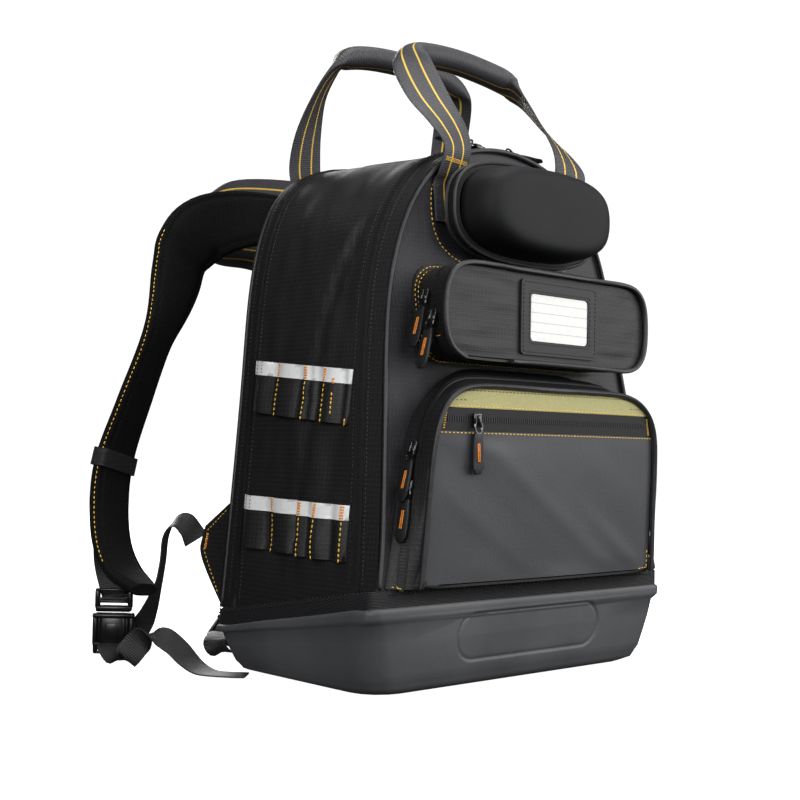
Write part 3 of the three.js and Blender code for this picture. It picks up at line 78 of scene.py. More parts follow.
soft_box("key_light", (1.9, -1.9, 1.0), (0, -0.1, 0.28), 2.0, 44)
soft_box("front_light", (-0.1, -2.6, 1.3), (0, 0, 0.3), 1.8, 40)
soft_box("top_light", (0.1, -0.2, 2.1), (0, 0, 0.3), 1.3, 22)
soft_box("back_light", (0.9, 2.6, 1.5), (0, 0, 0.3), 1.5, 55)
soft_box("side_light", (-1.9, -0.9, 0.9), (0, 0, 0.2), 1.0, 24)

world = bpy.data.worlds.new("studio")
bpy.context.scene.world = world
world.use_nodes = True
studio = world.node_tree
ambient = studio.nodes["Background"]
ambient.inputs["Color"].default_value = (1, 1, 1, 1)
ambient.inputs["Strength"].default_value = 0.06
backdrop = studio.nodes.new("ShaderNodeBackground")
backdrop.inputs["Color"].default_value = (1, 1, 1, 1)
backdrop.inputs["Strength"].default_value = 1.1
rays = studio.nodes.new("ShaderNodeLightPath")
seen = studio.nodes.new("ShaderNodeMixShader")
studio.links.new(rays.outputs["Is Camera Ray"], seen.inputs[0])
studio.links.new(ambient.outputs[0], seen.inputs[1])
studio.links.new(backdrop.outputs[0], seen.inputs[2])
studio.links.new(seen.outputs[0], studio.nodes["World Output"].inputs[0])


def linear(code):
    """An sRGB hex value as linear red, green, blue and alpha."""
    parts = [int(code[i:i + 2], 16) / 255 for i in (1, 3, 5)]
    return [c / 12.92 if c <= 0.04045 else ((c + 0.055) / 1.055) ** 2.4 for c in parts] + [1]


def add_node(material, kind, inputs=(), **settings):
    """Adds a node with its settings; an input is a value or the socket that feeds it."""
    node = material.node_tree.nodes.new(kind)
    for key, value in settings.items():
        setattr(node, key, value)
    for key, value in dict(inputs).items():
        if isinstance(value, bpy.types.NodeSocket):
            material.node_tree.links.new(value, node.inputs[key])
        else:
            node.inputs[key].default_value = value
    return node


def new_material(name, colour, roughness, **sockets):
    """A material whose shader has these values; returns it and the shader."""
    material = bpy.data.materials.new(name)
    material.use_nodes = True
    shader = material.node_tree.nodes["Principled BSDF"]
    shader.inputs["Base Color"].default_value = linear(colour)
    shader.inputs["Roughness"].default_value = roughness
    for key, value in sockets.items():
        shader.inputs[key.replace("_", " ")].default_value = value
    return material, shader


# Painted board: an even, almost white floor.
floor_paint = new_material("painted_board", "#e9e9e9", 0.9,
                           Emission_Color=(1, 1, 1, 1), Emission_Strength=1.0)[0]
floor_mesh = bpy.data.meshes.new("floor")
bm = bmesh.new()
bmesh.ops.create_grid(bm, x_segments=1, y_segments=1, size=9)
bm.to_mesh(floor_mesh)
bm.free()
floor = bpy.data.objects.new("floor", floor_mesh)
floor_mesh.materials.append(floor_paint)
bpy.context.scene.collection.objects.link(floor)
floor.visible_diffuse = False
floor.visible_glossy = False

# ---- Moulded base tray ----
# A one-piece tray with an outward lip, injection moulded in rubbery TPE with a fine spark-eroded
# grain. A plain oval is sunk into its front wall, and a bead runs round its foot.
MM = 0.001
OVAL_CENTRE = (2, 45)
OVAL_HALF = (92, 20)
OVAL_GROOVE_WIDTH = 1.1
OVAL_GROOVE_DEPTH = 1.5
# The stretch of wall round the oval that gets a fine mesh: left, right, bottom and top.
OVAL_FIELD = (OVAL_CENTRE[0] - OVAL_HALF[0] - 6, OVAL_CENTRE[0] + OVAL_HALF[0] + 6,
              OVAL_CENTRE[1] - OVAL_HALF[1] - 4, OVAL_CENTRE[1] + OVAL_HALF[1] + 4)
OVAL_MESH = 1.6
FRONT_WALL_Y = -88
# The wall is pushed away from this box within the tray: its halves and ends in x and y.
WALL_CORE = ((-150, 150), (-75, 65))
# How far the wall stands out from a plain taper, by share of its height.
WALL_FULLNESS = [(0, 0), (0.08, 6), (0.22, 7), (0.5, 6), (0.82, 2.6), (0.9, 0.6), (1, 0)]


def smooth_step(low, high, value):
    """0 below low, 1 above high, and a smooth rise between."""
    share = min(max((value - low) / (high - low), 0), 1)
    return share * share * (3 - 2 * share)


def bell(value, width):
    """A rounded bump that is 1 at value 0."""
    return math.exp(-(value / width) ** 2)


def merged_copy(name):
    """A bmesh of a node's mesh in metres, merged, with its triangle pairs joined to quads."""
    shape = bmesh.new()
    shape.from_mesh(nodes[name].data)
    shape.transform(nodes[name].matrix_world)
    bmesh.ops.remove_doubles(shape, verts=shape.verts, dist=2e-5)
    bmesh.ops.join_triangles(shape, faces=shape.faces, angle_face_threshold=0.9,
                             angle_shape_threshold=1.4)
    return shape


def as_object(shape, name, material, sharp=40):
    """Turns a bmesh into an object with this material, smooth up to the sharp angle."""
    mesh = bpy.data.meshes.new(name)
    shape.to_mesh(mesh)
    shape.free()
    piece = bpy.data.objects.new(name, mesh)
    bpy.context.scene.collection.objects.link(piece)
    mesh.materials.append(material)
    mesh.shade_smooth()
    mesh.set_sharp_from_angle(angle=math.radians(sharp))
    return piece


def fitted(piece, slot, *replaced):
    """The piece rides with the bag and stands for these nodes; slot is not used."""
    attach(piece, "root")
    if replaced:
        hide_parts(*replaced)
    return piece


def coarse_noise(material, scale, detail=3, name="Object"):
    """Noise over the piece's own coordinates; scale is in waves per metre."""
    place = add_node(material, "ShaderNodeTexCoord").outputs[name]
    return add_node(material, "ShaderNodeTexNoise",
                    {"Vector": place, "Scale": scale, "Detail": detail})


def two_tones(material, source, low, high, dark, light):
    """Colours that run from dark to light as the source runs from low to high."""
    ramp = add_node(material, "ShaderNodeValToRGB", {"Fac": source})
    for stop, place, colour in zip(ramp.color_ramp.elements, (low, high), (dark, light)):
        stop.position = place
        stop.color = linear(colour)
    return ramp


def set_bump(material, shader, height, distance, strength=1.0):
    """Bump from a height socket, its depth in metres."""
    bump = add_node(material, "ShaderNodeBump",
                    {"Height": height, "Distance": distance, "Strength": strength})
    material.node_tree.links.new(bump.outputs[0], shader.inputs["Normal"])


def grained(name, colour, roughness, fine, depth=0.0002, strength=1.0, cloud=None, tones=None,
            **sockets):
    """A material with a fine bump and, where tones are given, two colours mixed by noise.
    fine and cloud are waves per metre and detail; without cloud the tones follow fine."""
    material, shader = new_material(name, colour, roughness, **sockets)
    bumps = coarse_noise(material, *fine)
    if tones:
        source = coarse_noise(material, *cloud) if cloud else bumps
        low, high, dark, light = tones
        mixed = two_tones(material, source.outputs[0], low, high, dark, light)
        material.node_tree.links.new(mixed.outputs[0], shader.inputs["Base Color"])
    if depth:
        set_bump(material, shader, bumps.outputs[0], depth, strength)
    return material


# Thermoplastic elastomer, injection moulded: a soft grey sheen over a fine pebble grain.
tpe = grained("moulded_tpe", "#434447", 0.5, (900, 2), 0.00022, 0.6, (14, 4),
              (0.35, 0.65, "#47484b", "#535457"), IOR=1.5)


def oval_depth(x, z):
    """How deep the oval's groove is at a place on the front wall, in millimetres."""
    along = max(abs(x - OVAL_CENTRE[0]) - (OVAL_HALF[0] - OVAL_HALF[1]), 0)
    outside = math.hypot(along, z - OVAL_CENTRE[1]) - OVAL_HALF[1]
    return OVAL_GROOVE_DEPTH * bell(outside, OVAL_GROOVE_WIDTH) + 0.5 * smooth_step(1, -1, outside)


tray = merged_copy("base_tray")
bmesh.ops.subdivide_edges(tray, edges=tray.edges, cuts=2, use_grid_fill=True)
bmesh.ops.smooth_vert(tray, verts=[v for v in tray.verts if v.co.z > 0.004], factor=0.5,
                      use_axis_x=True, use_axis_y=True, use_axis_z=False)


def lip_height(y):
    """The top of the tray's lip, which falls towards the back, in millimetres."""
    return 76 - 0.165 * (y + 117)


def read_table(table, value):
    """Straight-line reading of a table of pairs."""
    for (a, low), (b, high) in zip(table, table[1:]):
        if value <= b:
            return low + (high - low) * max((value - a) / (b - a), 0)
    return table[-1][1]


def fuller_wall(point):
    """Pushes the walls out between foot and lip, so that they stand nearly upright."""
    core = Vector([min(max(value, low * MM), high * MM)
                   for value, (low, high) in zip(point, WALL_CORE)] + [point.z])
    push = read_table(WALL_FULLNESS, point.z / MM / lip_height(point.y / MM))
    away = point - core
    return away.normalized() * push * MM if away.length > 0.01 else Vector()


for v in tray.verts:
    v.co += fuller_wall(v.co)
for spot, across in zip(OVAL_FIELD, ((1, 0, 0), (1, 0, 0), (0, 0, 1), (0, 0, 1))):
    wall = [f for f in tray.faces
            if f.normal.y < -0.8 and f.calc_center_median().y < FRONT_WALL_Y * MM]
    edges = list(dict.fromkeys(e for f in wall for e in f.edges))
    corners = list(dict.fromkeys(v for f in wall for v in f.verts))
    bmesh.ops.bisect_plane(tray, geom=wall + edges + corners, dist=1e-6, plane_no=across,
                           plane_co=Vector(across) * spot * MM)
tray.normal_update()


def in_oval_field(vert):
    """Whether a point is on the stretch of front wall that carries the oval."""
    x, y, z = vert.co / MM
    left, right, bottom, top = OVAL_FIELD
    return (y < FRONT_WALL_Y and left - 0.1 < x < right + 0.1 and bottom - 0.1 < z < top + 0.1
            and vert.normal.y < -0.5)


for _ in range(6):
    long_edges = [e for e in tray.edges if e.calc_length() > OVAL_MESH * MM
                  and in_oval_field(e.verts[0]) and in_oval_field(e.verts[1])]
    bmesh.ops.subdivide_edges(tray, edges=long_edges, cuts=1, use_grid_fill=True)
    tray.normal_update()
for v in tray.verts:
    if in_oval_field(v):
        v.co.y += oval_depth(v.co.x / MM, v.co.z / MM) * MM
tray.normal_update()
fitted(as_object(tray, "tray_moulding", tpe, 65), "moulded_base", "base_tray")

# ---- Webbing trim round the base ----
# A band of polypropylene webbing sewn over the joint of tray and cloth with two dark rows of
# stitches.
POLYPROPYLENE_RIB = 1.2

webbing, shader = new_material("woven_polypropylene", "#1d1d20", 0.58)
place = add_node(webbing, "ShaderNodeTexCoord").outputs["Object"]
ribs = add_node(webbing, "ShaderNodeTexWave",
                {"Vector": place, "Scale": 0.314 / (POLYPROPYLENE_RIB * MM),
                 "Distortion": 0.6, "Detail": 1.0}, bands_direction="Z")
fuzz = coarse_noise(webbing, 700)
depth = add_node(webbing, "ShaderNodeMath",
                 {0: ribs.outputs["Fac"], 1: fuzz.outputs[0]}, operation="ADD")
webbing.node_tree.links.new(
    two_tones(webbing, ribs.outputs["Fac"], 0.2, 0.9, "#18181b", "#232326").outputs[0],
    shader.inputs["Base Color"])
set_bump(webbing, shader, depth.outputs[0], 0.0004)
band = merged_copy("base_trim")
for v in band.verts:
    if v.co.z / MM < lip_height(v.co.y / MM) + 4:
        v.co.z -= 1.6 * MM
bmesh.ops.bevel(band, geom=[e for e in band.edges if 0.7 < e.calc_face_angle(0) < 2],
                offset=0.6 * MM, affect="EDGES", segments=2, profile=0.5, material=-1)
trim = fitted(as_object(band, "trim_band", webbing, 60), "webbing", "base_trim")


def surface_of(*pieces):
    """A search tree over the meshes of these pieces."""
    points, faces = [], []
    for piece in pieces:
        start = len(points)
        points += [v.co.copy() for v in piece.data.vertices]
        faces += [[start + i for i in p.vertices] for p in piece.data.polygons]
    return BVHTree.FromPolygons(points, faces)


def even_steps(points, step):
    """Points at even steps along a line of points, each with its direction."""
    spots, carried = [], step / 2
    for a, b in zip(points, points[1:]):
        length = (b - a).length
        while carried <= length and length > 0:
            spots.append((a.lerp(b, carried / length), (b - a).normalized()))
            carried += step
        carried -= length
    return spots


def laid_on(surface, point, toward):
    """The nearest place on a surface, or the first one that is met going toward it."""
    if toward is None:
        return surface.find_nearest(point)[:2]
    hit = surface.ray_cast(point - toward * 0.08, toward)
    return hit[:2] if hit[0] is not None else surface.find_nearest(point)[:2]


def sew(name, material, lines, surface, length=3.2, gap=1.3, radius=0.42, toward=None):
    """A row of stitches along each line, laid on the surface; sizes are in millimetres."""
    shape = bmesh.new()
    toward = None if toward is None else Vector(toward).normalized()
    for line in lines:
        points = [Vector(p) * MM for p in line]
        for spot, along in even_steps(points, (length + gap) * MM):
            place, out = laid_on(surface, spot, toward)
            if toward is not None and out.dot(toward) > 0:
                out = -out
            along = (along - out * along.dot(out)).normalized()
            across = out.cross(along)
            turn = Matrix((along, across, out)).transposed().to_4x4()
            size = Matrix.Diagonal((length / 2 * MM, radius * MM, radius * 0.8 * MM, 1))
            bmesh.ops.create_icosphere(
                shape, subdivisions=1, radius=1,
                matrix=Matrix.Translation(place + out * radius * 0.35 * MM) @ turn @ size)
    piece = as_object(shape, name, material, 80)
    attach(piece, "root")
    return piece


# Bonded polyester thread, dyed black: a dull dark line that is a little glossier than cloth.
THREAD_GRAIN = (2500, 3)
dark_thread = grained("black_thread", "#050506", 0.6, THREAD_GRAIN)
around = [(-188, 100, 57), (-188, 0, 74), (-188, -70, 86), (-180, -112, 92), (-100, -118, 93),
          (0, -120, 93), (100, -118, 93), (180, -112, 92), (188, -70, 86), (188, 0, 74),
          (188, 100, 57)]
lower = [(x, y, z - 6) for x, y, z in around]
sew("trim_stitches", dark_thread, [around, lower], surface_of(trim), 3.6, 1.6, 0.8)

# ---- Body cloth: gusset and front panel ----
# Charcoal ripstop polyester, coated behind: one long gusset runs up, over and down the sides,
# and the front panel closes it. The sides pucker at a seam down their middle and sag a little.
RIPSTOP_GRID = 4.2
ZIP_EDGE = [(60, -92), (101, -90), (177, -77), (244, -68), (318, -58), (390, -54), (440, -50),
            (500, -50)]
REAR_EDGE = 82
SIDE_SEAM = [(60, 1), (161, -3), (204, -7), (278, -8), (305, -11), (350, -19), (391, -32),
             (410, -41), (431, -60), (500, -62)]
DENTS = [(-42, 372, 13, 22, 2.2), (-30, 352, 10, 26, 1.8), (20, 395, 14, 26, -1.6),
         (45, 330, 12, 30, 1.8), (10, 225, 16, 24, -1.8), (48, 215, 14, 30, 1.6),
         (-40, 205, 12, 26, 1.8), (-35, 120, 16, 16, -2.0), (30, 118, 12, 20, 2.2),
         (55, 425, 14, 18, 1.6)]


def outward(point):
    """The way that the bag's outside faces: to the side low down, and up over the top."""
    rise = max(point.z / MM - 330, 0)
    return Vector((point.x / MM, 0, rise * 1.25)).normalized()


def side_sag(point):
    """How far the gusset's cloth moves from its smooth form, as a vector in metres."""
    x, y, z = point / MM
    front = read_table(ZIP_EDGE, z)
    share = (y - front) / (REAR_EDGE - front)
    hold = smooth_step(0.03, 0.22, share) * smooth_step(0.98, 0.82, share)
    hold *= smooth_step(78, 120, z) * smooth_step(40, 110, abs(x))
    side = 1 if x > 0 else -1
    lift = 3.4 * noise.noise(Vector((y / 45, z / 80, side * 7)))
    lift += 1.8 * noise.noise(Vector((y / 15, z / 42, side * 3)))
    for at_y, at_z, wide, high, depth in DENTS:
        lift -= depth * bell(y - at_y, wide) * bell(z - at_z, high)
    from_seam = y - read_table(SIDE_SEAM, z)
    lift -= 3.2 * bell(from_seam, 3.5)
    lift += 0.8 * math.sin(z / 3.6 + 2 * noise.noise(Vector((z / 30, 0, side)))) \
        * bell(from_seam, 11)
    return outward(point) * lift * hold * MM


def grid_lines(material, spacing):
    """1 on the thicker threads of a square grid, whichever way the surface faces."""
    place = add_node(material, "ShaderNodeTexCoord").outputs["Object"]
    wander = add_node(material, "ShaderNodeTexNoise", {"Vector": place, "Scale": 30})
    bent = add_node(material, "ShaderNodeVectorMath",
                    {0: wander.outputs["Color"], 1: (0.0012, 0.0012, 0.0012), 2: place},
                    operation="MULTIPLY_ADD")
    cells = add_node(material, "ShaderNodeVectorMath",
                     {0: bent.outputs[0], "Scale": 1 / (spacing * MM)}, operation="SCALE")
    part = add_node(material, "ShaderNodeVectorMath", {0: cells.outputs[0]},
                    operation="FRACTION")
    centred = add_node(material, "ShaderNodeVectorMath",
                       {0: part.outputs[0], 1: (0.5, 0.5, 0.5)}, operation="SUBTRACT")
    distance = add_node(material, "ShaderNodeVectorMath", {0: centred.outputs[0]},
                        operation="ABSOLUTE")
    facing = add_node(material, "ShaderNodeNewGeometry").outputs["Normal"]
    facing = add_node(material, "ShaderNodeVectorMath", {0: facing}, operation="ABSOLUTE")
    axes = [add_node(material, "ShaderNodeSeparateXYZ", {0: v.outputs[0]})
            for v in (distance, facing)]
    total = 0.0
    for axis in range(3):
        line = add_node(material, "ShaderNodeMapRange",
                        {"Value": axes[0].outputs[axis], 1: 0.12, 2: 0.04, 3: 0.0,
                         4: 0.8 if axis == 2 else 0.55})
        shown = add_node(material, "ShaderNodeMapRange",
                         {"Value": axes[1].outputs[axis], 1: 0.75, 2: 0.45, 3: 0.0, 4: 1.0})
        total = add_node(material, "ShaderNodeMath",
                         {0: line.outputs[0], 1: shown.outputs[0], 2: total},
                         operation="MULTIPLY_ADD").outputs[0]
    return total


# Ripstop polyester: a close plain weave with a grid of thicker threads, drawn at about its
# real 4 mm; its filaments give a faint sheen and the dye is slightly uneven.
def ripstop_cloth(name, dark, light, thread):
    """Ripstop in these tones: the weave's dark and light, and its thicker threads."""
    material, shader = new_material(name, light, 0.55)
    threads = grid_lines(material, RIPSTOP_GRID)
    cloud = coarse_noise(material, 22, 4)
    weave = coarse_noise(material, 1100, 2)
    tone = two_tones(material, cloud.outputs[0], 0.3, 0.7, dark, light)
    lighter = add_node(material, "ShaderNodeMix",
                       {"Factor": threads, "A": tone.outputs[0], "B": linear(thread)},
                       data_type="RGBA")
    material.node_tree.links.new(lighter.outputs["Result"], shader.inputs["Base Color"])
    height = add_node(material, "ShaderNodeMath",
                      {0: threads, 1: 0.35, 2: weave.outputs[0]}, operation="MULTIPLY_ADD")
    set_bump(material, shader, height.outputs[0], 0.0003, 0.8)
    return material


ripstop = ripstop_cloth("ripstop_polyester", "#0c0c0e", "#131315", "#222226")
# The front panel takes a paler copy of the same ripstop: painted light for the light that falls on
# the front.
ripstop_painted_light = ripstop_cloth("ripstop_polyester_painted_light", "#18181b", "#212125", "#2b2b30")


def rounded(shape, levels=2, crease_from=50):
    """Subdivision surface over a cage, with its sharper edges kept, as a new bmesh."""
    crease = shape.edges.layers.float.new("crease_edge")
    for edge in shape.edges:
        if len(edge.link_faces) == 2 and edge.calc_face_angle() > math.radians(crease_from):
            edge[crease] = 1
    cage = as_object(shape, "cage", tpe)  # a passing object, whose material is never seen
    smoother = cage.modifiers.new("smoother", "SUBSURF")
    smoother.levels = levels
    smoother.render_levels = levels
    bpy.context.view_layer.update()
    made = bmesh.new()
    made.from_mesh(cage.evaluated_get(bpy.context.evaluated_depsgraph_get()).to_mesh())
    mesh = cage.data
    bpy.data.objects.remove(cage)
    bpy.data.meshes.remove(mesh)
    for layer in list(made.edges.layers.float.values()):
        made.edges.layers.float.remove(layer)
    return made


def shift_by(shape, field):
    """Moves each point of a bmesh by a field of vectors."""
    for v in shape.verts:
        v.co += field(v.co)
    shape.normal_update()
    return shape


def dressed(node, name, material, slot, levels=2, crease_from=50, field=None, sharp=40):
    """A node's rounded copy in a material, moved by a field of vectors, stands for the node."""
    shape = rounded(merged_copy(node), levels, crease_from)
    if field:
        shift_by(shape, field)
    return fitted(as_object(shape, name, material, sharp), slot, node)


gusset = dressed("side_gusset", "gusset_cloth", ripstop, "body_cloth", 3, 60, side_sag)


def panel_sag(point):
    """The front panel's soft creases, as a vector in metres; its edges stay where they are."""
    x, y, z = point / MM
    side_room = (read_table([(80, 176), (215, 160), (340, 142), (415, 110), (478, 30)], z)
                 - abs(x))
    hold = smooth_step(6, 30, side_room) * smooth_step(90, 120, z) * smooth_step(476, 455, z)
    lift = 1.4 * noise.noise(Vector((x / 38, 3, z / 55)))
    lift += 0.6 * noise.noise(Vector((x / 13, 9, z / 30)))
    return Vector((0, -lift * hold * MM, 0))


# The front panel wears the paler copy of the ripstop, which is painted light.
front = dressed("front_panel", "front_cloth", ripstop_painted_light, "body_cloth", 3, 60, panel_sag)

# ---- Back panel ----
# Closed-cell foam under black spacer mesh, which lies against the wearer; a stitched channel
# runs down its middle and two across it.
# Polyester spacer mesh: a knit of small open cells, matt and very dark. The shoulder pads take a
# darker copy of it than the back panel: painted shade.
def knitted_mesh(name, dark, light):
    """Spacer mesh in these tones, its cells drawn at about 2.4 mm."""
    material, shader = new_material(name, light, 0.9, Specular_IOR_Level=0.2)
    place = add_node(material, "ShaderNodeTexCoord").outputs["Object"]
    cells = add_node(material, "ShaderNodeTexVoronoi", {"Vector": place, "Scale": 420,
                                                        "Randomness": 0.35})
    material.node_tree.links.new(
        two_tones(material, cells.outputs["Distance"], 0.15, 0.6, dark, light).outputs[0],
        shader.inputs["Base Color"])
    set_bump(material, shader, cells.outputs["Distance"], 0.0007)
    return material


# The darker copy, for the shoulder pads, is painted shade.
spacer_mesh_painted_shade = knitted_mesh("spacer_mesh_painted_shade", "#030304", "#0b0b0c")
back_mesh = knitted_mesh("spacer_mesh_back", "#0c0c0e", "#222226")


def back_channels(point):
    """The back pad's stitched channels, pressed in from the wearer's side."""
    x, y, z = point / MM
    if y < 104:
        return Vector()
    edge = smooth_step(150, 125, abs(x)) * smooth_step(70, 95, z) * smooth_step(455, 425, z)
    depth = 4 * bell(abs(x) - 22, 5) + 3.5 * bell(z - 190, 6) + 3.5 * bell(z - 325, 6)
    return Vector((0, -min(depth, 5) * edge * MM, 0))


back = dressed("back_panel", "back_padding", back_mesh, "back_padding", 3, 50, back_channels, 60)

# ---- Piping ----
# PVC piping over a cord, sewn into the seams where gusset and panels meet: smooth, satin and
# a little lighter than the cloth.
pvc = grained("extruded_pvc", "#232326", 0.5, (160, 4), 0.0003, 0.5,
              tones=(0.35, 0.7, "#1e1e21", "#2a2a2d"), IOR=1.53)
for node in ("front_piping", "rear_piping"):
    dressed(node, f"{node}_cord", pvc, "piping", 2, 75)

# ---- Zips round the body ----
# Nylon coil zips on woven tape: the front one opens the main compartment, the rear one the
# laptop sleeve. Each tooth is drawn as one small bar, at twice the coil's real pitch.
TOOTH = (1.3, 4.6, 1.1)
TOOTH_PITCH = 2.6
ARCH_CENTRE_Z = 200
# Points of a band whose directions are nearer than this, in radians, are one section.
SECTION_GAP = 0.012
zip_tape = grained("zip_tape", "#0c0c0e", 0.7, (800, 2), 0.0003)
# Nylon monofilament, moulded into teeth: hard and slightly glossy.
nylon = grained("nylon_coil", "#0a0a0c", 0.6, (300, 3), 0,
                tones=(0.3, 0.7, "#070709", "#0e0e10"), IOR=1.53)
def middle_line(node):
    """The middle of a band's outer face, where it arches over the bag from its left foot to its
    right one, in millimetres. Its points are grouped into sections by their direction from a
    spot low in the middle of the bag, and the two sections at its feet are left off."""
    band = merged_copy(node)
    seen = []
    for v in band.verts:
        up = v.co.z - ARCH_CENTRE_Z * MM
        seen.append((math.atan2(v.co.x, up), math.hypot(v.co.x, up), v.co.copy()))
    band.free()
    seen.sort(key=lambda entry: entry[0])
    sections = [[seen[0]]]
    for before, here in zip(seen, seen[1:]):
        if here[0] - before[0] > SECTION_GAP:
            sections.append([])
        sections[-1].append(here)
    line = []
    for section in sections[1:-1]:
        (*_, inner), (*_, outer) = sorted(section, key=lambda entry: entry[1])[-2:]
        line.append(tuple((inner + outer) / 2 / MM))
    return line


def teeth(name, line, surface, toward=None):
    """Small bars across a zip's line, laid on its tape."""
    shape = bmesh.new()
    points = [Vector(p) * MM for p in line]
    for spot, along in even_steps(points, TOOTH_PITCH * MM):
        place, out = laid_on(surface, spot, toward)
        if toward is not None and out.dot(toward) > 0:
            out = -out
        along = (along - out * along.dot(out)).normalized()
        turn = Matrix((along, out.cross(along), out)).transposed().to_4x4()
        size = Matrix.Diagonal((*(v * MM for v in TOOTH), 1))
        bmesh.ops.create_cube(shape, size=1, matrix=Matrix.Translation(place) @ turn @ size)
    piece = as_object(shape, name, nylon, 30)
    return fitted(piece, "zip")


# Rows of stitches in front of and behind each body zip.
ZIP_ROWS_AT = (-8, 8.5)
# Charcoal thread, a little paler than the cloth, so that the rows show as dotted lines.
grey_thread = grained("charcoal_thread", "#3a3a3e", 0.5, THREAD_GRAIN)
for node in ("main_zip", "rear_zip"):
    line = middle_line(node)
    tape = dressed(node, f"{node}_tape", zip_tape, "zip", 1)
    teeth(f"{node}_teeth", line, surface_of(tape))
    rows = [[(x, y + d, z) for x, y, z in line] for d in ZIP_ROWS_AT]
    sew(f"{node}_rows", grey_thread, rows, surface_of(gusset), 2.6, 1.1, 0.5)

# ---- Tool loops and reflective strips on the sides ----
# A band of doubled cloth, folded at its top, is sewn down at four lines, so that it stands out
# as loops between them. A silver reflective tape runs along its top edge.
# Glass-bead reflective tape: pale silver-grey with a fine printed crosshatch. Its faint white glow
# is painted light that stands in for the beads' bright reflection.
reflective = grained("glass_bead_tape_painted_glow", "#d2d3d3", 0.5, (500, 2), 0.0002, 0.5,
                     tones=(0.3, 0.7, "#dadbdb", "#e2e3e3"),
                     Emission_Color=(1, 1, 1, 1), Emission_Strength=0.06)
# Bright bonded thread for the bar tacks and the rows that are meant to be seen.
orange_thread = grained("orange_thread", "#f7a01e", 0.5, THREAD_GRAIN, Sheen_Weight=0.2)
yellow_thread = grained("yellow_thread", "#ffca3c", 0.5, THREAD_GRAIN, Sheen_Weight=0.2)

# For each row of loops: the height of its top edge at y = 0 and how that rises with y, where
# its rows of stitches are as shares of its length, its ends, and its cut length in metres.
LOOP_ROWS = {
    "upper": (275, 0.09, (0.05, 0.29, 0.47, 0.76), (-68, 71), 0.15),
    "lower": (158.2, 0.027, (0.13, 0.33, 0.47, 0.75), (-84, 68), 0.166),
}
LOOP_HEIGHT = 47
REFLECTOR_HEIGHT = 13
LOOP_FULLNESS = 0.6
LOOP_DROP = 5
# A plane beside the bag, from which rows are laid on its side.
BESIDE = 220
# Three lines of small stitches make one bar tack.
TACK_LINES = (-1.2, 0, 1.2)
smooth_side = surface_of(nodes["side_gusset"])


def flattened(shape, sign):
    """Lays a band closer to the side, to the fullness that its empty loops have."""
    for v in shape.verts:
        v.co.z -= LOOP_DROP * MM
        place = smooth_side.ray_cast(Vector((sign * 0.4, v.co.y, v.co.z)), (-sign, 0, 0))[0]
        if place is not None:
            off = v.co.x - place.x
            v.co.x -= sign * (1 - LOOP_FULLNESS) * max(abs(off) - 2 * MM, 0)
    return shift_by(shape, side_sag)


for row, (top, slope, shares, (near, far), length) in LOOP_ROWS.items():
    for side, sign in (("left", -1), ("right", 1)):
        band = flattened(rounded(merged_copy(f"{row}_loops_{side}"), 2, 50), sign)
        band = as_object(band, f"{row}_loop_band_{side}", ripstop)
        fitted(band, "webbing", f"{row}_loops_{side}")
        strip = flattened(rounded(merged_copy(f"{row}_reflector_{side}"), 2, 50), sign)
        strip = as_object(strip, f"{row}_silver_tape_{side}", reflective)
        fitted(strip, "reflective_tape", f"{row}_reflector_{side}")
        cloth = surface_of(band, strip)
        rows, tacks = [], []
        for share in shares:
            y = near + (far - near) * share
            z = top + slope * y
            rows.append([(sign * BESIDE, y, z - REFLECTOR_HEIGHT - 1),
                         (sign * BESIDE, y, z - LOOP_HEIGHT)])
            tacks += [[(sign * BESIDE, y + d, z - 1), (sign * BESIDE, y + d, z - REFLECTOR_HEIGHT)]
                      for d in TACK_LINES]
        inward = (-sign, 0, 0)
        sew(f"{row}_loop_rows_{side}", yellow_thread, rows, cloth, 3.6, 0.7, 0.75, inward)
        sew(f"{row}_bar_tacks_{side}", orange_thread, tacks, cloth, 2.2, 0.1, 0.7, inward)
        ends = [[(sign * BESIDE, far - 2 - d, top + slope * far),
                 (sign * BESIDE, far - 2 - d, top + slope * far - REFLECTOR_HEIGHT)]
                for d in (0, 8)]
        sew(f"{row}_strip_ends_{side}", dark_thread, ends, cloth, 2.4, 0.8, 0.4, inward)

# ---- Lower pocket ----
# A deep gusseted pocket: ripstop sides, a curved coil zip down its left side, and a front of
# TPU-coated tarpaulin under an olive band with a second zip. Bright rows of stitches edge it.
# TPU-coated cloth: a flat satin film, creased in long soft diagonals by the cloth below.
coated = grained("tpu_coated_cloth", "#3c3d40", 0.42, (420, 2), 0.00016, 0.6, (9, 3),
                 (0.3, 0.7, "#38393c", "#434447"), IOR=1.46)
# Olive nylon oxford: a flat, close weave with a yellow-green cast.
olive = grained("olive_oxford", "#85864a", 0.7, (900, 2), 0.0003,
                tones=(0.3, 0.7, "#9a9560", "#b0aa74"), Sheen_Weight=0.1)


def pocket_sag(point):
    """The pocket's slack: diagonal creases on the front and soft buckles down its sides."""
    x, y, z = point / MM
    if y > -118:
        return Vector()
    hold = smooth_step(148, 120, abs(x)) * smooth_step(92, 108, z) * smooth_step(216, 200, z)
    lean = x * 0.55 + z * 0.84
    lift = 0.8 * noise.noise(Vector((lean / 52, 1, (x - z) / 150)))
    lift += 0.45 * bell(lean - 128, 9) + 0.3 * bell(lean - 70, 8) - 0.3 * bell(lean - 96, 11)
    lift += 0.8 * bell(lean - 152, 9) * smooth_step(30, 120, x)
    return Vector((0, -lift * hold * MM, 0))


def gusset_sag(point):
    """Soft buckles across the pocket's sides and top."""
    x, y, z = point / MM
    hold = smooth_step(94, 110, z) * smooth_step(70, 130, abs(x) + max(z - 180, 0))
    hold *= smooth_step(-88, -96, y) * smooth_step(-134, -126, y)
    return outward(point) * 0.7 * noise.noise(Vector((x / 20, y / 18, z / 26))) * hold * MM


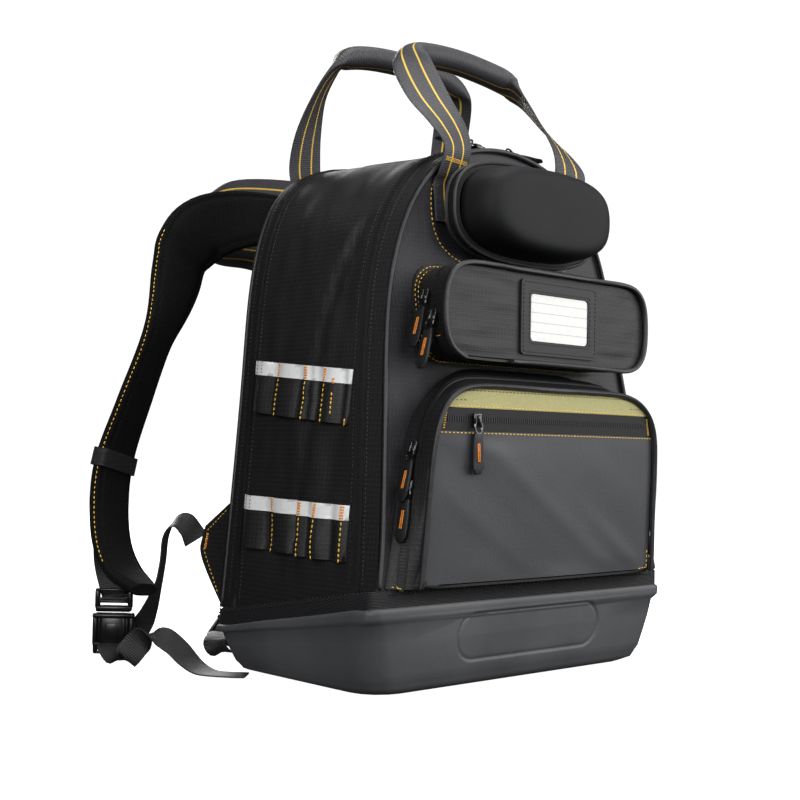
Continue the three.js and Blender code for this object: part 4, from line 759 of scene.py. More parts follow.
POCKET_CLOTH = (
    ("pocket_gusset", "pocket_side_cloth", ripstop, "body_cloth", gusset_sag),
    ("pocket_panel", "pocket_front_cloth", coated, "coated_cloth", pocket_sag),
    ("pocket_zip_band", "pocket_zip_tape", zip_tape, "zip", None),
    ("pocket_top_band", "pocket_olive_band", olive, "accent_cloth", None),
    ("pocket_side_zip", "pocket_side_zip_tape", zip_tape, "zip", gusset_sag),
    ("pocket_piping", "pocket_piping_cord", pvc, "piping", None),
)
pocket = {}
for node, name, material, slot, sag in POCKET_CLOTH:
    pocket[name] = dressed(node, name, material, slot, 3 if sag else 2, 60, sag)
pocket_front = surface_of(*(pocket[n] for n in (
    "pocket_front_cloth", "pocket_zip_tape", "pocket_olive_band")))
FORWARD = (0, 1, 0)
# A plane in front of the bag, from which rows are laid on its front.
AHEAD = -180
sew("pocket_rows", yellow_thread,
    [[(-138, AHEAD, 239.5), (136, AHEAD, 239.5)], [(-144, AHEAD, 217.5), (142, AHEAD, 217.5)],
     [(-148, AHEAD, 214), (-146, AHEAD, 186)], [(146, AHEAD, 112), (147, AHEAD, 95)],
     [(147, AHEAD, 95), (132, AHEAD, 94)]],
    pocket_front, 3.2, 1.2, 0.5, FORWARD)
sew("pocket_band_top_row", dark_thread, [[(-128, AHEAD, 253), (128, AHEAD, 253)]], pocket_front,
    3, 1.4, 0.4, FORWARD)
sew("pocket_zip_tacks", yellow_thread,
    [[(-133 + d, AHEAD, 236), (-136 + d, AHEAD, 221)] for d in (0, 1)]
    + [[(133 + d, AHEAD, 236), (136 + d, AHEAD, 221)] for d in (0, 1)],
    pocket_front, 1.8, 0.2, 0.45, FORWARD)
teeth("pocket_front_teeth", [(-132, AHEAD, 229), (132, AHEAD, 229)], pocket_front,
      Vector(FORWARD))
# The left half of the curved zip's middle line.
SIDE_ZIP = [(-164, -119, 92), (-158.9, -118.5, 126.1), (-153.6, -117.7, 161.2),
            (-149.2, -116.7, 196.5), (-140.5, -115.9, 226), (-126.6, -114.4, 246.7),
            (-110.5, -112.6, 259.4), (-95, -112.7, 265.7), (-80.1, -113.1, 268.4),
            (0, -114.4, 268.4)]
side_tape = surface_of(pocket["pocket_side_zip_tape"])
teeth("pocket_side_teeth", SIDE_ZIP + [(-x, y, z) for x, y, z in reversed(SIDE_ZIP[:-1])],
      side_tape)
sew("pocket_side_row", yellow_thread, [[(-168, -126, 92), (-166, -108, 92)],
                                       [(168, -126, 92), (166, -108, 92)]],
    surface_of(pocket["pocket_side_cloth"], pocket["pocket_side_zip_tape"]), 2.6, 1, 0.45)

# ---- Pod pocket ----
# A shallow oval pocket on a backing sewn to the front panel, zipped round its gusset. Its face
# carries a card window: a frame of stitched vinyl, and a card behind a clear sheet.
def pod_sag(point):
    """Faint level creases across the pod's face."""
    x, y, z = point / MM
    hold = smooth_step(130, 112, abs(x - 2)) * smooth_step(40, 28, abs(z - 320))
    hold *= smooth_step(50, 62, abs(x - 9))
    lift = 0.9 * noise.noise(Vector((x / 60, 4, z / 9))) + 0.7 * noise.noise(
        Vector((x / 28, 8, z / 22)))
    return Vector((0, -lift * hold * MM, 0))


pod = {}
for node, name, material, slot, sag in (
        ("pod_backing", "pod_backing_cloth", ripstop, "body_cloth", None),
        ("pod_gusset", "pod_side_cloth", ripstop, "body_cloth", None),
        ("pod_face", "pod_face_cloth", ripstop, "body_cloth", pod_sag),
        ("pod_piping", "pod_piping_cord", pvc, "piping", None)):
    pod[name] = dressed(node, name, material, slot, 3 if sag else 2, 60, sag)

# Soft vinyl: smooth, dark and satin. The frame is flat, so its CAD mesh stays.
vinyl = grained("calendered_vinyl", "#161619", 0.6, (500, 3), 0.0002, 0.5,
                tones=(0.3, 0.7, "#121215", "#1a1a1d"), IOR=1.53)
# Card under clear PVC film: white paper with faint ruled lines, under a coat of gloss.
card_paper, shader = new_material("card_under_film", "#e6e6e3", 0.5, Coat_Weight=0.6,
                                  Coat_Roughness=0.08)
place = add_node(card_paper, "ShaderNodeTexCoord").outputs["Object"]
rules = add_node(card_paper, "ShaderNodeTexWave",
                 {"Vector": place, "Scale": 0.314 / 0.0085, "Phase Offset": 2.2},
                 bands_direction="Z")
fibre = coarse_noise(card_paper, 300)
line = add_node(card_paper, "ShaderNodeMapRange",
                {"Value": rules.outputs["Fac"], 1: 0.97, 2: 0.99, 3: 0.0, 4: 0.8})
paper = two_tones(card_paper, fibre.outputs[0], 0.3, 0.7, "#dededb", "#e9e9e6")
mixed = add_node(card_paper, "ShaderNodeMix",
                 {"Factor": line.outputs[0], "A": paper.outputs[0], "B": linear("#a9abb0")},
                 data_type="RGBA")
card_paper.node_tree.links.new(mixed.outputs["Result"], shader.inputs["Base Color"])
nodes["pod_window_frame"].material_slots[0].material = vinyl
nodes["pod_card"].material_slots[0].material = card_paper


def rounded_outline(centre, half, radius, y, steps=6):
    """A closed rounded rectangle in a plane that faces front, in millimetres."""
    line = []
    for k, (sx, sz) in enumerate(((1, 1), (-1, 1), (-1, -1), (1, -1))):
        for i in range(steps + 1):
            angle = math.pi / 2 * (k + i / steps)
            line.append((centre[0] + sx * (half[0] - radius) + radius * math.cos(angle), y,
                         centre[1] + sz * (half[1] - radius) + radius * math.sin(angle)))
    return line + line[:1]


frame_surface = surface_of(nodes["pod_window_frame"])
sew("window_rows", dark_thread,
    [rounded_outline((9, 320), half, 3, AHEAD) for half in ((48.5, 30.5), (41, 23))],
    frame_surface, 2.6, 1.2, 0.45, FORWARD)
pod_cloth = surface_of(pod["pod_backing_cloth"])
sew("pod_backing_rows", yellow_thread,
    [rounded_outline((2, 320), (121.5, 41.5), 24, AHEAD),
     rounded_outline((2, 320), (118, 39), 22, AHEAD)], pod_cloth, 3, 1.3, 0.45, FORWARD)
pod_side = surface_of(pod["pod_side_cloth"])
teeth("pod_teeth", rounded_outline((2, 320), (126, 41), 24, -113), pod_side)
sew("pod_end_tack", orange_thread, [[(-131 - d, -121, 296), (-131 - d, -108, 296)]
                                    for d in (0, 1)], pod_side, 2, 0.2, 0.5)

# ---- Glasses case ----
# Two shells of EVA foam, hot pressed with a cloth face, that meet at a zip. Their edges are
# bound, and the rear one is sewn to the front panel with a bright row of stitches.
# Pressed EVA: matt, close-grained and a little bluish.
eva = grained("pressed_eva", "#131417", 0.65, (1200, 2), 0.0002, 0.6, (30, 3),
              (0.3, 0.7, "#0c0d0f", "#111215"), Specular_IOR_Level=0.3)
CASE_CENTRE = 415
CASE_HALF = (92, 43)
CASE_ZIP_Y = (-94, -103)
BINDING_RADIUS = 1.7
CASE_ROW_TOP = 452
# Above 1, the front shell rises more steeply from its rim and is flatter across its face.
CASE_SHOULDER = 1.7


def case_ring(scale, y, count=72, grow=0):
    """A closed ring round the case in millimetres, rounder than a rectangle."""
    ring = []
    for i in range(count + 1):
        angle = 2 * math.pi * i / count
        across, up = (math.copysign(abs(v) ** (2 / 2.8), v)
                      for v in (math.cos(angle), math.sin(angle)))
        ring.append(((scale * CASE_HALF[0] + grow) * across, y,
                     CASE_CENTRE + (scale * CASE_HALF[1] + grow) * up))
    return ring


def tube_round(ring, radius, sides=8):
    """A closed tube along a ring that lies in a plane facing front; a grid, then rolled."""
    points = [Vector(p) * MM for p in ring[:-1]]
    count = len(points)
    shape = bmesh.new()
    bmesh.ops.create_grid(shape, x_segments=count, y_segments=sides, size=0.5)
    for v in shape.verts:
        i = round((v.co.x + 0.5) * count) % count
        turn = 2 * math.pi * round((v.co.y + 0.5) * sides) / sides
        along = (points[(i + 1) % count] - points[i - 1]).normalized()
        out = along.cross(Vector((0, -1, 0)))
        v.co = points[i] + (out * math.cos(turn) + Vector((0, -1, 0)) * math.sin(turn)) \
            * radius * MM
    bmesh.ops.remove_doubles(shape, verts=shape.verts, dist=1e-6)
    bmesh.ops.recalc_face_normals(shape, faces=shape.faces)
    return shape


def flat_fronted(shape):
    """Fills out a shell's shoulders, so that its face is flat between tight corners."""
    depths = [v.co.y for v in shape.verts]
    rim, face = max(depths), min(depths)
    for v in shape.verts:
        rest = 1 - (rim - v.co.y) / (rim - face)
        v.co.y = rim - (rim - face) * (1 - rest ** CASE_SHOULDER)
    shape.normal_update()
    return shape


case = {}
for node in ("case_rear_half", "case_front_half"):
    half = rounded(merged_copy(node), 2, 55)
    if node == "case_front_half":
        flat_fronted(half)
    case[node] = fitted(as_object(half, f"{node}_shell", eva, 60), "moulded_case", node)
case_tape = dressed("case_zip", "case_zip_tape", zip_tape, "zip")
teeth("case_teeth", case_ring(1.02, sum(CASE_ZIP_Y) / 2, 72, 1.5), surface_of(case_tape))
for k, y in enumerate((CASE_ZIP_Y[0] + 0.6, CASE_ZIP_Y[1] - 0.2)):
    fitted(as_object(tube_round(case_ring(1.02, y, 72, 0.2), BINDING_RADIUS),
                     f"case_binding_{k + 1}", pvc), "piping")
backing = surface_of(front, case["case_rear_half"])
# The row follows the case, sags below it by 5 mm and stops short of the case's top.
row = [(x, y, z - 5 * smooth_step(425, 385, z)) for x, y, z in case_ring(1.0, AHEAD, 72, 3.5)
       if z < CASE_ROW_TOP]
start = max(range(len(row) - 1), key=lambda i: (Vector(row[i]) - Vector(row[i + 1])).length)
sew("case_row", yellow_thread, [row[start + 1:] + row[:start + 1]], backing, 3.2, 1.3, 0.5,
    FORWARD)

# ---- Handles ----
# Two carrying handles and a haul loop of ribbed polypropylene webbing with two woven gold
# lines. The webbing is folded round a foam core at each grip and sewn down at its feet.
# Sections are x, y and z of the middle, the direction across, the width and the thickness.
PER_SPAN = 6
RIB_PITCH = 1.9
FRONT_HANDLE = [
    (-75, -80.1, 402, 1, 0, 0, 38, 1.8), (-75, -78.4, 419, 1, 0, 0, 38, 1.8),
    (-75, -76.7, 436, 1, 0, 0, 38, 1.8), (-75, -79.8, 445.9, 0.98, 0.19, 0, 38, 1.8),
    (-75.8, -87.5, 467.2, 0.99, 0.13, 0, 38, 1.8), (-77.3, -76.4, 490, 0.97, -0.23, 0, 38, 1.8),
    (-76.5, -49.1, 521.2, 0.81, -0.59, 0, 38, 1.8), (-72, -23.4, 553.9, 0.65, -0.76, 0, 36.5, 4.8),
    (-63, -11.4, 568.1, 0.16, -0.99, 0, 29, 20), (-37.5, -4.6, 575.2, 0, -1, 0, 28, 22),
    (0, -2.9, 578, 0, -1, 0, 28, 22),
]
REAR_HANDLE = [
    (-88, 102.4, 440, 1, 0, 0, 38, 1.8), (-88, 102.2, 443, 1, 0, 0, 38, 1.8),
    (-88, 102, 446, 1, 0, 0, 38, 1.8), (-88, 107.4, 454.5, 1, 0, 0, 38, 1.8),
    (-90.6, 109.1, 475.8, 1, 0, 0, 38, 1.8), (-93.3, 101.4, 505.6, 0.97, 0.23, 0, 38, 1.8),
    (-89.8, 89.4, 542.6, 0.81, 0.59, 0, 38, 1.8), (-81.8, 77.5, 568.1, 0.65, 0.76, 0, 36.5, 4.8),
    (-73, 72.3, 579.5, 0.16, 0.99, 0, 29, 20), (-44, 68.9, 585.9, 0, 1, 0, 28, 22),
    (0, 67.2, 588, 0, 1, 0, 28, 22),
]
HAUL_LOOP = [
    (-48.2, 103, 436.1, 0.3, 0, 0.95, 38, 1.8), (-65.1, 151.4, 453.9, 0.25, 0, 0.97, 38, 1.8),
    (-91.6, 220.1, 462.8, 0.2, 0.05, 0.98, 35, 7.9), (-98.8, 255.4, 453.9, 0.1, 0.6, 0.8, 29, 20),
    (-98.8, 268.2, 431.6, 0, 0.98, 0.2, 28, 22), (-92.8, 252.7, 409.4, 0, 0.71, -0.71, 28, 22),
    (-81.9, 211.8, 400.5, -0.1, 0.2, -0.97, 28, 22),
    (-69.9, 174.2, 391.6, -0.25, 0, -0.97, 32, 13.9), (-48.2, 138, 382.7, -0.3, 0, -0.95, 38, 1.8),
    (-24.1, 105.1, 373.8, -0.3, 0, -0.95, 38, 1.8),
]


def whole_route(half):
    """A handle's route, from its left half: the rest mirrors it, and its width turns over."""
    return half + [(-x, y, z, -a, b, c, w, t) for x, y, z, a, b, c, w, t in reversed(half[:-1])]


def curved(rows, per_span):
    """More rows between the given ones, on a smooth curve through them."""
    rows = [Vector(r) for r in rows]
    rows = [rows[0] * 2 - rows[1], *rows, rows[-1] * 2 - rows[-2]]
    made = []
    for a, b, c, d in zip(rows, rows[1:], rows[2:], rows[3:]):
        for i in range(per_span):
            t = i / per_span
            made.append((b * 2 + (c - a) * t + (a * 2 - b * 5 + c * 4 - d) * t * t
                         + (b * 3 - a - c * 3 + d) * t ** 3) / 2)
    return made + [rows[-2]]


def swept(rows, sides, per_span=PER_SPAN, outline=None, fold=0.0):
    """A strap along a route: a grid whose rows become sections, rolled up and closed.
    Two attributes keep each point's place across and along the strap, for its ribs."""
    rows = curved(rows, per_span)
    last = len(rows) - 1
    spots = [Vector(r[:3]) * MM for r in rows]
    lengths = [0.0]
    for a, b in zip(spots, spots[1:]):
        lengths.append(lengths[-1] + (b - a).length)
    shape = bmesh.new()
    bmesh.ops.create_grid(shape, x_segments=last, y_segments=sides, size=0.5)
    across_layer = shape.verts.layers.float.new("across")
    along_layer = shape.verts.layers.float.new("along")
    for v in shape.verts:
        i = round((v.co.x + 0.5) * last)
        angle = 2 * math.pi * (round((v.co.y + 0.5) * sides) + 0.5) / sides
        width, thick = rows[i][6] / 2 * MM, rows[i][7] / 2 * MM
        along = (spots[min(i + 1, last)] - spots[max(i - 1, 0)]).normalized()
        across = Vector(rows[i][3:6])
        across = (across - along * across.dot(along)).normalized()
        power = 2 / (2.3 + 5 * smooth_step(0.5, 0.1, thick / width))
        u, t = (math.copysign(abs(q) ** power, q) for q in (math.cos(angle), math.sin(angle)))
        if outline:
            u, t = outline(u, t, lengths[i])
        if fold and t > 0:
            t -= fold * bell(u, 0.12) * smooth_step(0.3, 0.6, thick / width)
        v[across_layer] = u
        v[along_layer] = lengths[i]
        v.co = spots[i] + across * u * width + along.cross(across) * t * thick
    bmesh.ops.remove_doubles(shape, verts=shape.verts, dist=1e-6)
    bmesh.ops.holes_fill(shape, edges=[e for e in shape.edges if e.is_boundary], sides=0)
    bmesh.ops.recalc_face_normals(shape, faces=shape.faces)
    return shape


# Polypropylene webbing, woven 38 mm wide: ribs every 2 mm across it, and two gold warp lines
# a third of the way in from its edges.
def strap_webbing(name, colour, dark, gold_at=None):
    """Webbing whose ribs and lines follow the strap's own attributes."""
    material, shader = new_material(name, colour, 0.52)
    along = add_node(material, "ShaderNodeAttribute", attribute_name="along").outputs["Fac"]
    across = add_node(material, "ShaderNodeAttribute", attribute_name="across").outputs["Fac"]
    wave = add_node(material, "ShaderNodeMath", {0: along, 1: 6.283 / (RIB_PITCH * MM)},
                    operation="MULTIPLY")
    rib = add_node(material, "ShaderNodeMath", {0: wave.outputs[0]}, operation="SINE")
    fuzz = coarse_noise(material, 600)
    height = add_node(material, "ShaderNodeMath", {0: rib.outputs[0], 1: 0.25, 2: fuzz.outputs[0]},
                      operation="MULTIPLY_ADD")
    set_bump(material, shader, height.outputs[0], 0.0004)
    body = two_tones(material, height.outputs[0], 0.2, 0.9, dark, colour).outputs[0]
    if gold_at:
        place = add_node(material, "ShaderNodeMath", {0: across}, operation="ABSOLUTE")
        off = add_node(material, "ShaderNodeMath", {0: place.outputs[0], 1: gold_at},
                       operation="SUBTRACT")
        off = add_node(material, "ShaderNodeMath", {0: off.outputs[0]}, operation="ABSOLUTE")
        gold = add_node(material, "ShaderNodeMapRange",
                        {"Value": off.outputs[0], 1: 0.055, 2: 0.035, 3: 0.0, 4: 1.0})
        body = add_node(material, "ShaderNodeMix",
                        {"Factor": gold.outputs[0], "A": body, "B": linear("#f4c848")},
                        data_type="RGBA").outputs["Result"]
    material.node_tree.links.new(body, shader.inputs["Base Color"])
    return material


lined_webbing = strap_webbing("lined_webbing", "#48484c", "#303034", 0.38)
handles = {}
for node, route in (("handle_front", whole_route(FRONT_HANDLE)),
                    ("handle_rear", whole_route(REAR_HANDLE)), ("haul_loop", HAUL_LOOP)):
    handle = as_object(swept(route, 24, PER_SPAN, None, 0.22), f"{node}_strap", lined_webbing, 60)
    handles[node] = fitted(handle, "webbing", node)
feet = surface_of(handles["handle_front"])
sew("handle_tacks", yellow_thread,
    [[(sx * 75 - 16, AHEAD, z), (sx * 75 + 16, AHEAD, z)] for sx in (-1, 1)
     for z in (455, 456.2, 457.4)], feet, 2.2, 0.1, 0.5, FORWARD)

# ---- Shoulder straps ----
# Two curved pads: foam in spacer mesh, pinched at a bright row of stitches along the outer
# edge. An elastic keeper rounds each, and webbing leads on to the buckle.
# A section is x, y and z of the middle and the direction across the strap as x, y and z; a
# pad's section also has its width.
PAD_THICKNESS = 12
PAD_SEAM_AT = 0.8
STRAP_WEBBING = (25, 1.8)
PAD_ROWS = {
    "left": [
        (-89.2, 102.6, 413.9, 0.75, 0, 0.66, 52.8), (-118.1, 137.5, 425, 0.35, 0.1, 0.93, 56.1),
        (-144.6, 187.9, 420.5, -0.1, 0, 1, 66), (-163.9, 205.8, 396.1, -0.7, -0.15, 0.7, 66),
        (-173.5, 205.8, 364.9, -0.92, -0.25, 0.31, 66),
        (-195.2, 198, 311.5, -0.84, -0.54, 0, 60), (-214.5, 208, 244.8, -0.86, -0.51, 0, 59),
        (-228.9, 215.9, 191.3, -0.89, -0.46, 0, 59),
        (-236.2, 212.5, 151.3, -0.89, -0.46, 0, 58), (-241, 198, 111.3, -0.9, -0.44, 0, 54),
        (-241, 174.4, 84.5, -0.93, -0.36, 0, 46), (-241, 138.6, 71.2, -0.98, -0.2, 0, 27)],
    "right": [
        (89.2, 102.6, 413.9, 0.75, 0, -0.66, 52.8), (101.2, 149.8, 429.4, 0.86, 0, -0.51, 59.4),
        (108.5, 192.4, 425, 0.97, 0, -0.25, 66), (101.2, 217, 396.1, 1, 0, -0.1, 66),
        (86.8, 228.2, 356, 1, 0, 0, 66), (62.7, 236, 298.2, 0.99, 0, 0.12, 66),
        (38.6, 239.4, 240.3, 0.99, 0, 0.15, 66), (12.1, 237.2, 173.6, 0.99, 0, 0.15, 66),
        (-7.2, 227.1, 120.2, 0.99, 0, 0.15, 62.7), (-19.3, 211.4, 84.5, 0.99, 0, 0.12, 52.8),
        (-26.5, 181.2, 66.8, 1, 0, 0.1, 29.7)],
}
UPPER_WEBBING = {
    "left": [
        (-239.1, 222.4, 150, 0.92, 0.33, -0.2), (-243.4, 207.5, 106.5, 0.99, 0.11, -0.11),
        (-245.1, 194.6, 84, 0.9, -0.43, 0), (-242.1, 186.1, 60.2, 0.74, -0.67, 0.01),
        (-247.8, 179.8, 60.6, 0.74, -0.67, 0.01), (-251.8, 175.4, 60.8, 0.74, -0.67, 0.01)],
    "right": [
        (-6.7, 237.9, 118.1, -0.99, 0, -0.15), (-18.3, 219.2, 78.8, -0.97, 0.2, 0.1),
        (-28, 206.9, 61.9, -0.85, 0.53, 0), (-53, 198, 60, -0.57, 0.82, 0),
        (-88, 189.6, 64.5, -0.45, 0.89, 0), (-105.2, 180.8, 47, -0.45, 0.89, 0),
        (-100.6, 183.1, 40.1, -0.45, 0.89, 0), (-97.4, 184.7, 35.4, -0.45, 0.89, 0)],
}
LOWER_WEBBING = {
    "left": [
        (-182, 144.9, 114, 0, 0.1, 1), (-190.4, 149.8, 129, 0.41, 0.41, 0.82),
        (-198.8, 157.6, 130.5, 0.67, 0.67, 0.31), (-202.9, 165, 117, 0.71, 0.71, 0),
        (-203.9, 167.7, 93, 0.71, 0.71, 0), (-207, 170, 70.5, 0.76, 0.65, 0),
        (-215, 171.1, 48, 0.95, 0.32, 0), (-222.9, 178.9, 30, 0.95, -0.32, 0),
        (-242.9, 184.4, 19.3, 0.74, -0.67, 0.01), (-248.6, 178.1, 18.6, 0.74, -0.67, 0.01),
        (-254.4, 171.7, 18, 0.74, -0.67, 0.01), (-253.1, 152, 9, 0.76, -0.65, 0),
        (-241, 142, 25.5, 0.84, -0.53, 0.11), (-228.9, 131.9, 30, 0.97, -0.11, 0.22),
        (-219.3, 118.4, 21, 0.99, 0, 0.16), (-214.5, 100.5, 8.3, 1, 0, 0),
        (-210.9, 82.6, 2.1, 1, 0.1, 0), (-202.4, 62.4, 1.8, 0.85, 0.53, 0),
        (-190.4, 49, 1.8, 0.71, 0.71, 0)],
    "right": [
        (179.5, 142.9, 114, 0, 0.1, 1), (185.6, 161, 111, 0.32, 0, 0.95),
        (180.8, 178.9, 75, 0.81, 0.51, 0.3), (163.9, 190.1, 30, 0.6, 0.8, 0),
        (120.5, 194.6, 7.5, 0.1, 1, 0), (48.2, 190.1, 3.8, 0, 1, 0),
        (-36.1, 181.2, 3.8, 0, 1, 0), (-125.5, 170.7, 8.8, -0.45, 0.89, 0),
        (-130.7, 168, 15.1, -0.45, 0.89, 0), (-136, 165.4, 21.3, -0.45, 0.89, 0),
        (-149.4, 156.5, 15, -0.45, 0.89, 0), (-144.6, 147.6, 6.8, -0.3, 0.95, 0),
        (-115.7, 143.1, 3.3, 0, 1, 0), (-79.5, 140.8, 3, 0, 1, 0)],
}


def pad_outline(u, t, along):
    """A pad's section: pinched where its edges are sewn, with a crown between."""
    pinch = 1 - 0.42 * bell(abs(u) - PAD_SEAM_AT, 0.06) - 0.25 * smooth_step(0.84, 0.95, abs(u))
    wave = 0.05 * noise.noise(Vector((u * 2, t, along * 22)))
    return u, t * (pinch + wave * smooth_step(0.8, 0.6, abs(u)))


plain_webbing = strap_webbing("plain_webbing", "#2c2c2f", "#1a1a1c")
pads = {}
for side, sections in PAD_ROWS.items():
    rows = [(*section, PAD_THICKNESS) for section in sections]
    # The pads wear the darker copy of the spacer mesh, which is painted shade.
    pad = as_object(swept(rows, 48, 8, pad_outline), f"shoulder_padding_{side}", spacer_mesh_painted_shade, 70)
    pads[side] = fitted(pad, "back_padding", f"shoulder_pad_{side}")
    for node, name, route in (
            ("strap_webbing", "strap_ribbon", UPPER_WEBBING[side]),
            ("lower_webbing", "lower_ribbon", LOWER_WEBBING[side])):
        route = [(*section, *STRAP_WEBBING) for section in route]
        ribbon = as_object(swept(route, 12, 6), f"{name}_{side}", plain_webbing, 60)
        fitted(ribbon, "webbing", f"{node}_{side}")
    low, high = (v[2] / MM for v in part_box(f"strap_keeper_{side}"))
    band = [r for r in curved(rows, 16) if low + 2 < r[2] < high - 2 and r[1] > 190][::6]
    keeper = swept([(*r[:6], r[6] + 4, r[7] + 4.6) for r in band], 32, 4)
    fitted(as_object(keeper, f"keeper_band_{side}", webbing, 60), "webbing",
           f"strap_keeper_{side}")
    shift = Vector((-10 if side == "left" else -3, -9, 0))
    edge = [Vector(r[:3]) + Vector(r[3:6]).normalized() * r[6] / 2 * PAD_SEAM_AT + shift
            for r in curved(rows, 4)[12:-6]]
    sew(f"pad_rows_{side}", yellow_thread, [edge], surface_of(pad), 3.2, 1.5, 0.5)

# ---- Buckles ----
# Side-release buckles, moulded in glossy black acetal: a socket with a window on each side,
# the prongs of the plug inside it, and a bar at each end that the webbing turns round.
acetal = grained("moulded_acetal", "#0b0b0d", 0.28, (120, 4), 0.0002, 0.4,
                 tones=(0.4, 0.8, "#0a0a0c", "#151518"), IOR=1.48)
BUCKLE_AT = {
    "left": ((-248.2, 178.9, 39.6), (0, 0, 1), (0.743, -0.669, 0.01)),
    "right": ((-115.7, 175.6, 27.6), (0.74, 0.37, 0.55), (-0.45, 0.89, 0)),
}
# Blocks: the middle across, up and through, the size in the same order, and the rounding.
BUCKLE_PARTS = [
    (0, -9, 0, 24, 27, 10, 2.5), (-16.6, -9, 0, 4.4, 26, 8.6, 1.8),
    (16.6, -9, 0, 4.4, 26, 8.6, 1.8), (0, 5, 0, 38, 5, 11, 2), (0, -21, 0, 37, 4.5, 9.6, 1.8),
    (-16.4, -25, 0, 4, 9, 6, 1.5), (16.4, -25, 0, 4, 9, 6, 1.5), (0, -29, 0, 36, 2.4, 5, 1),
    (-12.6, -7, 0, 2.6, 26, 6, 1), (12.6, -7, 0, 2.6, 26, 6, 1), (0, 11.5, 0, 33, 6, 8, 1.8),
    (-15, 20, 0, 4.5, 17, 6, 1.5), (15, 20, 0, 4.5, 17, 6, 1.5), (0, 18, 0, 28, 3, 5, 1),
    (0, 28.6, 0, 34, 2.6, 5, 1), (0, -9, 0, 13, 15, 10.6, 0.8),
]


def rounded_block(shape, middle, size, rounding, place):
    """One block with rounded edges, added to a bmesh at a place."""
    made = bmesh.ops.create_cube(shape, size=1)["verts"]
    bmesh.ops.scale(shape, verts=made, vec=Vector(size) * MM)
    bmesh.ops.translate(shape, verts=made, vec=Vector(middle) * MM)
    edges = list(dict.fromkeys(e for v in made for e in v.link_edges))
    cut = bmesh.ops.bevel(shape, geom=edges, offset=rounding * MM, affect="EDGES", segments=2,
                          profile=0.5, material=-1)
    verts = list(dict.fromkeys([v for v in made if v.is_valid] + cut["verts"]))
    bmesh.ops.transform(shape, matrix=place, verts=verts)


def in_place(middle, along, facing):
    """A matrix with y along a direction and z as near as can be to the facing one."""
    y = Vector(along).normalized()
    z = Vector(facing)
    z = (z - y * z.dot(y)).normalized()
    turn = Matrix((y.cross(z), y, z)).transposed().to_4x4()
    return Matrix.Translation(Vector(middle) * MM) @ turn


for side, (middle, up, across) in BUCKLE_AT.items():
    shape = bmesh.new()
    facing = Vector(across).cross(Vector(up))
    for x, y, z, w, h, d, rounding in BUCKLE_PARTS:
        rounded_block(shape, (x, y, z), (w, h, d), rounding, in_place(middle, up, facing))
    fitted(as_object(shape, f"side_release_buckle_{side}", acetal, 50), "hardware",
           f"buckle_{side}")

# ---- Wings ----
# Three-cornered pieces of doubled ripstop at the foot of the sides, which take the pull of the
# lower webbing; a bright row follows their edges.
for side, sign in (("left", -1), ("right", 1)):
    flap = dressed(f"wing_{side}", f"wing_cloth_{side}", ripstop, "body_cloth", 3)
    low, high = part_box(f"wing_{side}")
    x = sign * (BESIDE + 10)
    near, far = low[1] / MM + 3, high[1] / MM - 3
    inward = (-sign, 0, 0)
    sew(f"wing_rows_{side}", yellow_thread,
        [[(x, near, 144), (x, far - 4, 124), (x, far - 4, 106), (x, near, 67)]],
        surface_of(flap), 3.2, 1.3, 0.5, inward)
    sew(f"wing_tacks_{side}", orange_thread,
        [[(x, far - 6 + d, 121), (x, far - 6 + d, 106)] for d in (0, 1, 2)], surface_of(flap),
        2, 0.1, 0.5, inward)

# ---- Zip pulls ----
# Each slider is cast zinc with a glossy black coat; rings join it to a tab of moulded rubber,
# which carries a plain orange mark.
lacquer = grained("lacquered_zinc", "#0d0d10", 0.2, (200, 3), 0.0002, 0.4,
                  tones=(0.4, 0.8, "#0b0b0d", "#1a1a1e"), Coat_Weight=0.5)
RUBBER_GRAIN = (700, 3)
rubber = grained("moulded_rubber", "#141416", 0.55, RUBBER_GRAIN)
orange_rubber = grained("orange_rubber", "#e0801a", 0.5, RUBBER_GRAIN)
PULLS = {
    # anchor, the way that it hangs, the way that it faces, the link's length
    "main_zip_pull_left": ((-9, -52.05, 481.2), (-1, -0.05, 0.02), (0, 0, 1), 14),
    "main_zip_pull_right": ((9, -52.05, 481.2), (1, -0.05, 0.02), (0, 0, 1), 14),
    "pocket_front_pull": ((-100.98, -139.26, 234.2), (0.05, 0, -1), (0, -1, 0), 4),
    "pocket_side_pull_upper": ((-146.4, -116.3, 209.3), (-0.3, 0, -1), (-0.95, 0.09, 0.31), 4),
    "pocket_side_pull_lower": ((-152.5, -117.3, 178.2), (-0.2, 0, -1), (-0.99, -0.07, 0.15), 4),
    "pod_pull_upper": ((-125.2, -104.17, 336.4), (-0.3, 0, -1), (-1, 0, 0.3), 4),
    "pod_pull_lower": ((-130, -118.8, 317.95), (-0.3, 0, -1), (-1, 0, 0.3), 4),
}
SLIDER = (9, 12, 3.4)
TAB = (11.5, 35, 2.6)
RING_POINTS = 18


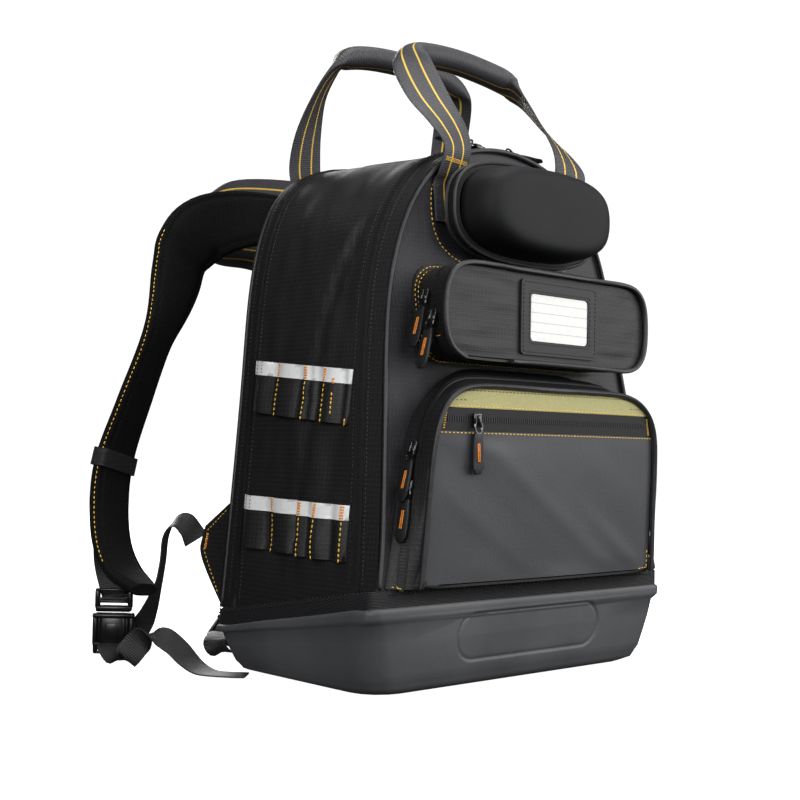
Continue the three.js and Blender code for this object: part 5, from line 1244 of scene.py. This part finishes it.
def slider_and_rings(place, link):
    """A slider's body with its bridge, and the rings that lead on to the tab."""
    metal = bmesh.new()
    rounded_block(metal, (0, SLIDER[1] / 2, SLIDER[2] / 2 + 0.2), SLIDER, 1.1, place)
    rounded_block(metal, (0, SLIDER[1] / 2, SLIDER[2] + 1.2), (3, 9, 2.2), 0.9, place)
    rings = max(1, round(link / 5))
    for k in range(rings):
        middle = SLIDER[1] + (k + 0.5) * link / rings - (2.2 if rings == 1 else 0)
        angles = [2 * math.pi * i / RING_POINTS for i in range(RING_POINTS + 1)]
        loop = tube_round([(4.2 * math.cos(a), 0, 5.4 * math.sin(a)) for a in angles], 0.95, 6)
        turn = Matrix.Rotation(math.radians(90 if k % 2 == 0 else 35), 4, "X")
        bmesh.ops.transform(loop, verts=loop.verts, matrix=place @ Matrix.Translation(
            Vector((0, middle, 3)) * MM) @ turn)
        mesh = bpy.data.meshes.new("ring")
        loop.to_mesh(mesh)
        loop.free()
        metal.from_mesh(mesh)
        bpy.data.meshes.remove(mesh)
    return metal


def narrowed_tab(place, top):
    """A tab that starts at top, narrow at both ends and bent a little towards the bag."""
    tab = bmesh.new()
    bmesh.ops.create_cube(tab, size=1)
    bmesh.ops.scale(tab, verts=tab.verts, vec=Vector(TAB) * MM)
    bmesh.ops.translate(tab, verts=tab.verts, vec=Vector((0, top + TAB[1] / 2, 2.2)) * MM)
    lengthwise = [e for e in tab.edges if abs(e.verts[0].co.y - e.verts[1].co.y) > MM]
    bmesh.ops.subdivide_edges(tab, edges=lengthwise, cuts=5, use_grid_fill=True)
    for v in tab.verts:
        share = (v.co.y / MM - top) / TAB[1]
        v.co.x *= 0.72 + 0.28 * smooth_step(0, 0.35, share) - 0.45 * smooth_step(0.85, 1, share)
        v.co.z -= 1.2 * MM * smooth_step(0, 1, share)
    bmesh.ops.bevel(tab, geom=[e for e in tab.edges if e.calc_face_angle(0) > 0.7],
                    offset=0.7 * MM, affect="EDGES", segments=2, profile=0.5, material=-1)
    bmesh.ops.transform(tab, matrix=place, verts=tab.verts)
    return tab


def tab_mark(place, top):
    """A slim raised frame along the tab."""
    mark = bmesh.new()
    for sign in (-1, 1):
        rounded_block(mark, (sign * 0.9, top + TAB[1] * 0.48, 3.1), (1.1, 14, 0.9), 0.35, place)
        rounded_block(mark, (0, top + TAB[1] * (0.48 + sign * 0.2), 3.1), (2.9, 1.1, 0.9), 0.35,
                      place)
    return mark


for node, (anchor, along, facing, link) in PULLS.items():
    place = in_place(anchor, along, facing)
    top = SLIDER[1] + link
    fitted(as_object(slider_and_rings(place, link), f"{node}_slider", lacquer, 50), "hardware",
           node)
    fitted(as_object(narrowed_tab(place, top), f"{node}_tab", rubber, 50), "hardware")
    fitted(as_object(tab_mark(place, top), f"{node}_mark", orange_rubber, 50), "hardware")
